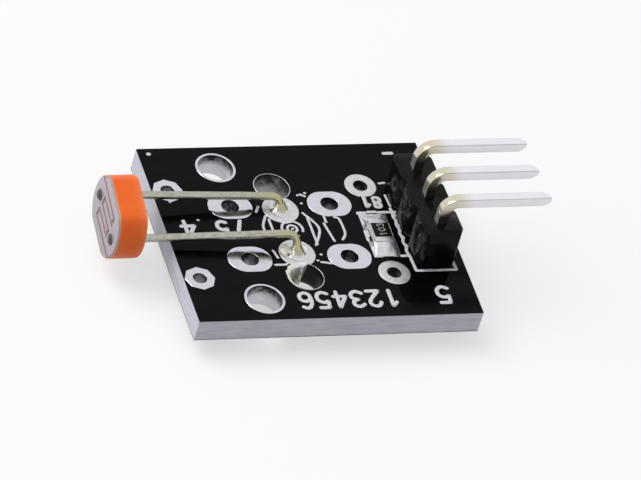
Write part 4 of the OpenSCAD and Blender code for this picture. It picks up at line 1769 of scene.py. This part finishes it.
@dataclass
class Legend:
    """The white print on the board and the number on the resistor, as thin ink."""

    line_w: float = 0.17
    frame_w: float = 0.21
    bold_w: float = 0.26
    ink_t: float = 0.04
    rough_edge: float = 0.028
    rough_fineness: float = 5.0
    spacing: float = 0.06
    above: float = 20.0
    drop: float = 50.0
    line_sides: int = 12
    bead_segments: int = 16
    bead_rings: int = 8

    def build(self, resistor: ChipResistor) -> None:
        """Prints the board and the resistor.

        Args:
            resistor: The chip resistor, which carries its number.
        """
        tree = self.ink_tree()
        code = number(resistor.code, (resistor.column, resistor.row), resistor.code_h, turn=90.0)
        for name, strokes, width, node, finish in (
            ("print_frames", self.outlines(), self.frame_w, "solder_mask_top", INK),
            ("print_lines", self.symbols(), self.line_w, "solder_mask_top", INK),
            ("print_numbers", self.numbers(), self.bold_w, "solder_mask_top", INK),
            ("resistor_number", code, resistor.code_w, "resistor_overcoat", CODE_INK),
        ):
            made = tree.run(
                self.wires(strokes),
                Carrier=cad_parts[node],
                Width=width,
                Thickness=self.ink_t,
                Unevenness=self.rough_edge * width / self.line_w,
                Spacing=self.spacing,
                Material=finish.material(),
            )
            keep_piece(name, made, finish)

    def wires(self, strokes: list[Stroke]) -> Mesh:
        """Makes a mesh of loose lines, high over the board.

        Args:
            strokes: The strokes to print.

        Returns:
            The mesh.
        """
        points = [(x, y, self.above) for stroke in strokes for x, y in stroke]
        edges = []
        first = 0
        for stroke in strokes:
            edges += [(first + i, first + i + 1) for i in range(len(stroke) - 1)]
            first += len(stroke)
        mesh = bpy.data.meshes.new("strokes")
        mesh.from_pydata(points, edges, [])
        return mesh

    def ink_tree(self) -> NodeGroup:
        """Builds the tree that lays strokes on a surface, with round ends and uneven edges.

        Returns:
            The tree.
        """
        group = NodeGroup("ink_strokes")
        width = group.size("Width")
        thickness = group.size("Thickness")
        curve = group.add("GeometryNodeMeshToCurve", Mesh=group.entry.outputs["Geometry"])
        even = group.add(
            "GeometryNodeResampleCurve",
            {"mode": "LENGTH"},
            Curve=curve.outputs[0],
            Length=group.size("Spacing"),
        )
        carried = group.size("Carrier", "NodeSocketObject")
        carrier = group.add("GeometryNodeObjectInfo", Object=carried)
        scaled = group.add(
            "GeometryNodeTransform",
            Geometry=carrier.outputs["Geometry"],
            Translation=(-BOARD_X, 0.0, 0.0),
            Scale=(1.0 / METRE,) * 3,
        )
        ray = group.add(
            "GeometryNodeRaycast",
            Target_Geometry=scaled.outputs[0],
            Ray_Direction=(0.0, 0.0, -1.0),
            Ray_Length=self.drop,
        )
        hit = ray.outputs["Is Hit"]
        landed = group.add("GeometryNodeSeparateGeometry", Geometry=even.outputs[0], Selection=hit)
        laid = group.add(
            "GeometryNodeSetPosition",
            Geometry=landed.outputs["Selection"],
            Position=ray.outputs["Hit Position"],
        )
        level = group.add("GeometryNodeSetCurveNormal", {"mode": "Z_UP"}, Curve=laid.outputs[0])
        size = group.add("ShaderNodeCombineXYZ", X=width, Y=thickness, Z=1.0)
        rim = group.add("GeometryNodeCurvePrimitiveCircle", Resolution=self.line_sides, Radius=0.5)
        section = group.add("GeometryNodeTransform", Geometry=rim.outputs[0], Scale=size.outputs[0])
        ribbon = group.add(
            "GeometryNodeCurveToMesh",
            Curve=level.outputs[0],
            Profile_Curve=section.outputs[0],
            Fill_Caps=True,
        )
        bead_size = group.add("ShaderNodeCombineXYZ", X=width, Y=width, Z=thickness)
        ball = group.add(
            "GeometryNodeMeshUVSphere",
            Segments=self.bead_segments,
            Rings=self.bead_rings,
            Radius=0.5,
        )
        bead = group.add(
            "GeometryNodeTransform", Geometry=ball.outputs[0], Scale=bead_size.outputs[0]
        )
        ends = group.add("GeometryNodeCurveEndpointSelection")
        caps = group.add(
            "GeometryNodeInstanceOnPoints",
            Points=laid.outputs[0],
            Selection=ends.outputs[0],
            Instance=bead.outputs[0],
        )
        solid = group.add("GeometryNodeRealizeInstances", Geometry=caps.outputs[0])
        both = group.add("GeometryNodeJoinGeometry", Geometry=ribbon.outputs[0])
        group.tree.links.new(solid.outputs[0], both.inputs[0])
        spots = group.add("ShaderNodeTexNoise", Scale=self.rough_fineness, Detail=1.0)
        depth = group.size("Unevenness")
        group.close(group.shifted(both.outputs[0], spots.outputs["Color"], depth))
        return group

    def outlines(self) -> list[Stroke]:
        """Draws the outlines round the header and the resistor.

        Returns:
            The strokes.
        """
        ticks = [(5.96, 1.2), (5.94, 0.3), (5.93, -0.75), (5.95, -1.5)]
        return [
            [(8.52, -2.75), (8.6, -3.72), (5.95, -3.72), (5.9, -2.4)],
            [(3.58, 0.95), (3.58, 1.42), (6.05, 1.42)],
            bow([(5.86 + 0.04 * (-1) ** i, 1.4 - 0.38 * i) for i in range(11)]),
            [(5.9, -2.41), (5.2, -2.41)],
            [(5.87, 1.55), (5.84, 1.72)],
            [(3.61, -0.2), (3.6, -0.98)],
            [(3.73, -0.2), (3.72, -0.6)],
            *[[(x, y), (x + 0.02, y - 0.1)] for x, y in ticks],
        ]

    def symbols(self) -> list[Stroke]:
        """Draws the outlines of parts between the sensor's pads, and the small marks round them.

        Returns:
            The strokes.
        """
        eye = (-1.06, 0.19)
        dots = [
            (-8.33, 2.81), (-6.96, 1.17), (0.15, 2.38), (0.15, -2.1), (-0.2, -2.6), (0.1, 3.1),
            (0.62, 3.27),
        ]
        return [
            arc(eye, 0.67, -20.0, 290.0),
            arc(eye, 0.31, 0.0, 360.0),
            [(eye[0], eye[1]), (eye[0] + 0.03, eye[1])],
            bow([(-2.5, 1.35), (-2.88, 0.5), (-2.85, -0.2)]),
            [(-2.36, 1.04), (-2.35, -0.2)],
            [(0.19, 1.19), (0.19, -1.19)],
            bow([(0.0, 1.54), (0.69, 0.19), (0.08, -1.27)]),
            [(1.12, 0.58), (1.38, -0.96)],
            [(1.3, 1.2), (1.3, 0.7)],
            bow([(1.96, 1.1), (2.23, 0.9), (2.27, -0.27), (1.96, -0.85)]),
            [(-2.73, 2.2), (-3.0, 1.73)],
            [(-2.85, -1.65), (-2.7, -2.27)],
            [(-3.04, -2.88), (-2.35, -2.88), (-1.9, -2.5)],
            [(0.3, 3.15), (0.55, 3.0)],
            [(0.0, -2.75), (0.75, -2.9)],
            [(5.9, 1.95), (5.84, 2.9)],
            [(5.75, 3.95), (6.1, 4.0)],
            *[[(x, y), (x + 0.03, y)] for x, y in dots],
        ]

    def numbers(self) -> list[Stroke]:
        """Draws plain numbers, a sign and the boldest marks.

        Returns:
            The strokes.
        """
        return [
            *number("4", (-7.75, 0.4), 1.4),
            *number("5", (-5.55, 0.45), 1.1),
            *number("7", (-4.35, 0.45), 1.1),
            *number("81", (4.75, 2.3), 0.85),
            *number("5", (7.1, -5.85), 1.35),
            *number("-", (7.1, 6.6), 1.2),
            *number("123456", (0.85, -6.0), 1.3),
            [(-8.6, 7.03), (-8.54, 7.03)],
        ]


class Lamp(NamedTuple):
    """A soft square lamp, with its place and side in millimetres and its power in watts."""

    name: str
    place: Triple
    side: float
    power: float


@dataclass
class Studio:
    """The floor, the light and the camera."""

    target: Triple = (1.0, 0.11, 1.84)
    azimuth: float = 28.37
    elevation: float = 41.47
    roll: float = 18.09
    distance: float = 492.0
    focal_px: float = 8000.0
    image_w: int = 641
    sensor_w: float = 36.0
    floor_half: float = 400.0
    floor_colour: Colour = (0.45, 0.45, 0.453)
    floor_rough: float = 0.9
    floor_lift: float = 0.58
    sky_colour: Colour = (0.98, 0.98, 1.0)
    sky_strength: float = 0.42
    lamps: tuple[Lamp, ...] = (
        Lamp("key_light", (-250.0, 130.0, 380.0), 330.0, 1.3),
        Lamp("fill_light", (-400.0, -90.0, 150.0), 300.0, 0.2),
    )

    def build(self) -> None:
        """Sets up the studio."""
        bpy.context.scene.view_settings.view_transform = "Standard"
        self.build_floor()
        self.build_sky()
        for lamp in self.lamps:
            self.build_lamp(lamp)
        self.build_camera()

    def shown_rays(self, tree: bpy.types.NodeTree) -> Socket:
        """Adds nodes that pick the rays that show the background.

        Args:
            tree: The node tree.

        Returns:
            1 for camera, glossy and transmission rays, and 0 for the others.
        """
        path = tree.nodes.new("ShaderNodeLightPath")
        total = path.outputs["Is Camera Ray"]
        for name in ("Is Glossy Ray", "Is Transmission Ray"):
            larger = tree.nodes.new("ShaderNodeMath")
            larger.operation = "MAXIMUM"
            tree.links.new(total, larger.inputs[0])
            tree.links.new(path.outputs[name], larger.inputs[1])
            total = larger.outputs[0]
        return total

    def build_floor(self) -> None:
        """Lays the pale floor, lifted to white where it is seen, with its shadow kept."""
        half = self.floor_half * METRE
        mesh = bpy.data.meshes.new("floor")
        corners = [(-half, -half, 0.0), (half, -half, 0.0), (half, half, 0.0), (-half, half, 0.0)]
        mesh.from_pydata(corners, [], [(0, 1, 2, 3)])
        material = bpy.data.materials.new("pale_floor")
        material.use_nodes = True
        tree = material.node_tree
        shader = tree.nodes["Principled BSDF"]
        shader.inputs["Base Color"].default_value = (*self.floor_colour, 1.0)
        shader.inputs["Roughness"].default_value = self.floor_rough
        shader.inputs["Specular IOR Level"].default_value = 0.0
        shader.inputs["Emission Color"].default_value = (1.0, 1.0, 1.0, 1.0)
        lift = tree.nodes.new("ShaderNodeMath")
        lift.operation = "MULTIPLY"
        lift.inputs[1].default_value = self.floor_lift
        tree.links.new(self.shown_rays(tree), lift.inputs[0])
        tree.links.new(lift.outputs[0], shader.inputs["Emission Strength"])
        mesh.materials.append(material)
        floor = bpy.data.objects.new("floor", mesh)
        bpy.context.scene.collection.objects.link(floor)

    def build_sky(self) -> None:
        """Makes the even light from all round, white where it is seen."""
        world = bpy.data.worlds.new("studio")
        world.use_nodes = True
        bpy.context.scene.world = world
        tree = world.node_tree
        background = tree.nodes["Background"]
        background.inputs["Color"].default_value = (*self.sky_colour, 1.0)
        strength = tree.nodes.new("ShaderNodeMapRange")
        strength.inputs["To Min"].default_value = self.sky_strength
        strength.inputs["To Max"].default_value = 1.0
        tree.links.new(self.shown_rays(tree), strength.inputs["Value"])
        tree.links.new(strength.outputs["Result"], background.inputs["Strength"])

    def build_lamp(self, lamp: Lamp) -> None:
        """Hangs a lamp so that it faces the board.

        Args:
            lamp: The lamp.
        """
        light = bpy.data.lights.new(lamp.name, "AREA")
        light.size = lamp.side * METRE
        light.energy = lamp.power
        hung = bpy.data.objects.new(lamp.name, light)
        hung.location = Vector(lamp.place) * METRE
        hung.rotation_mode = "QUATERNION"
        hung.rotation_quaternion = (-Vector(lamp.place)).to_track_quat("-Z", "Y")
        bpy.context.scene.collection.objects.link(hung)

    def build_camera(self) -> None:
        """Sets the camera at the photograph's viewing angle."""
        turn = math.radians(self.azimuth)
        up = math.radians(self.elevation)
        level = math.cos(up)
        back = Vector((-math.sin(turn) * level, -math.cos(turn) * level, math.sin(up)))
        level_right = Vector((0.0, 0.0, 1.0)).cross(back).normalized()
        level_up = back.cross(level_right)
        tilt = math.radians(self.roll)
        right = level_right * math.cos(tilt) + level_up * math.sin(tilt)
        axes = Matrix((right, back.cross(right), back)).transposed().to_4x4()
        data = bpy.data.cameras.new("camera")
        data.sensor_fit = "HORIZONTAL"
        data.sensor_width = self.sensor_w
        data.lens = self.focal_px * self.sensor_w / self.image_w
        camera = bpy.data.objects.new("camera", data)
        place = TO_FRAME @ (Vector(self.target) + back * self.distance)
        camera.matrix_world = Matrix.Translation(place) @ axes
        bpy.context.scene.collection.objects.link(camera)
        bpy.context.scene.camera = camera


def main() -> None:
    """Builds the module and the studio."""
    logging.basicConfig(level=logging.INFO, format="%(name)s %(message)s")
    noise.seed_set(BUMP_SEED)
    Studio().build()
    Board().build()
    SensorAssembly().build()
    SolderRun().build()
    FluxCrust().build()
    resistor = ChipResistor()
    resistor.build()
    Header().build()
    Legend().build(resistor)


if __name__ == "__main__":
    main()
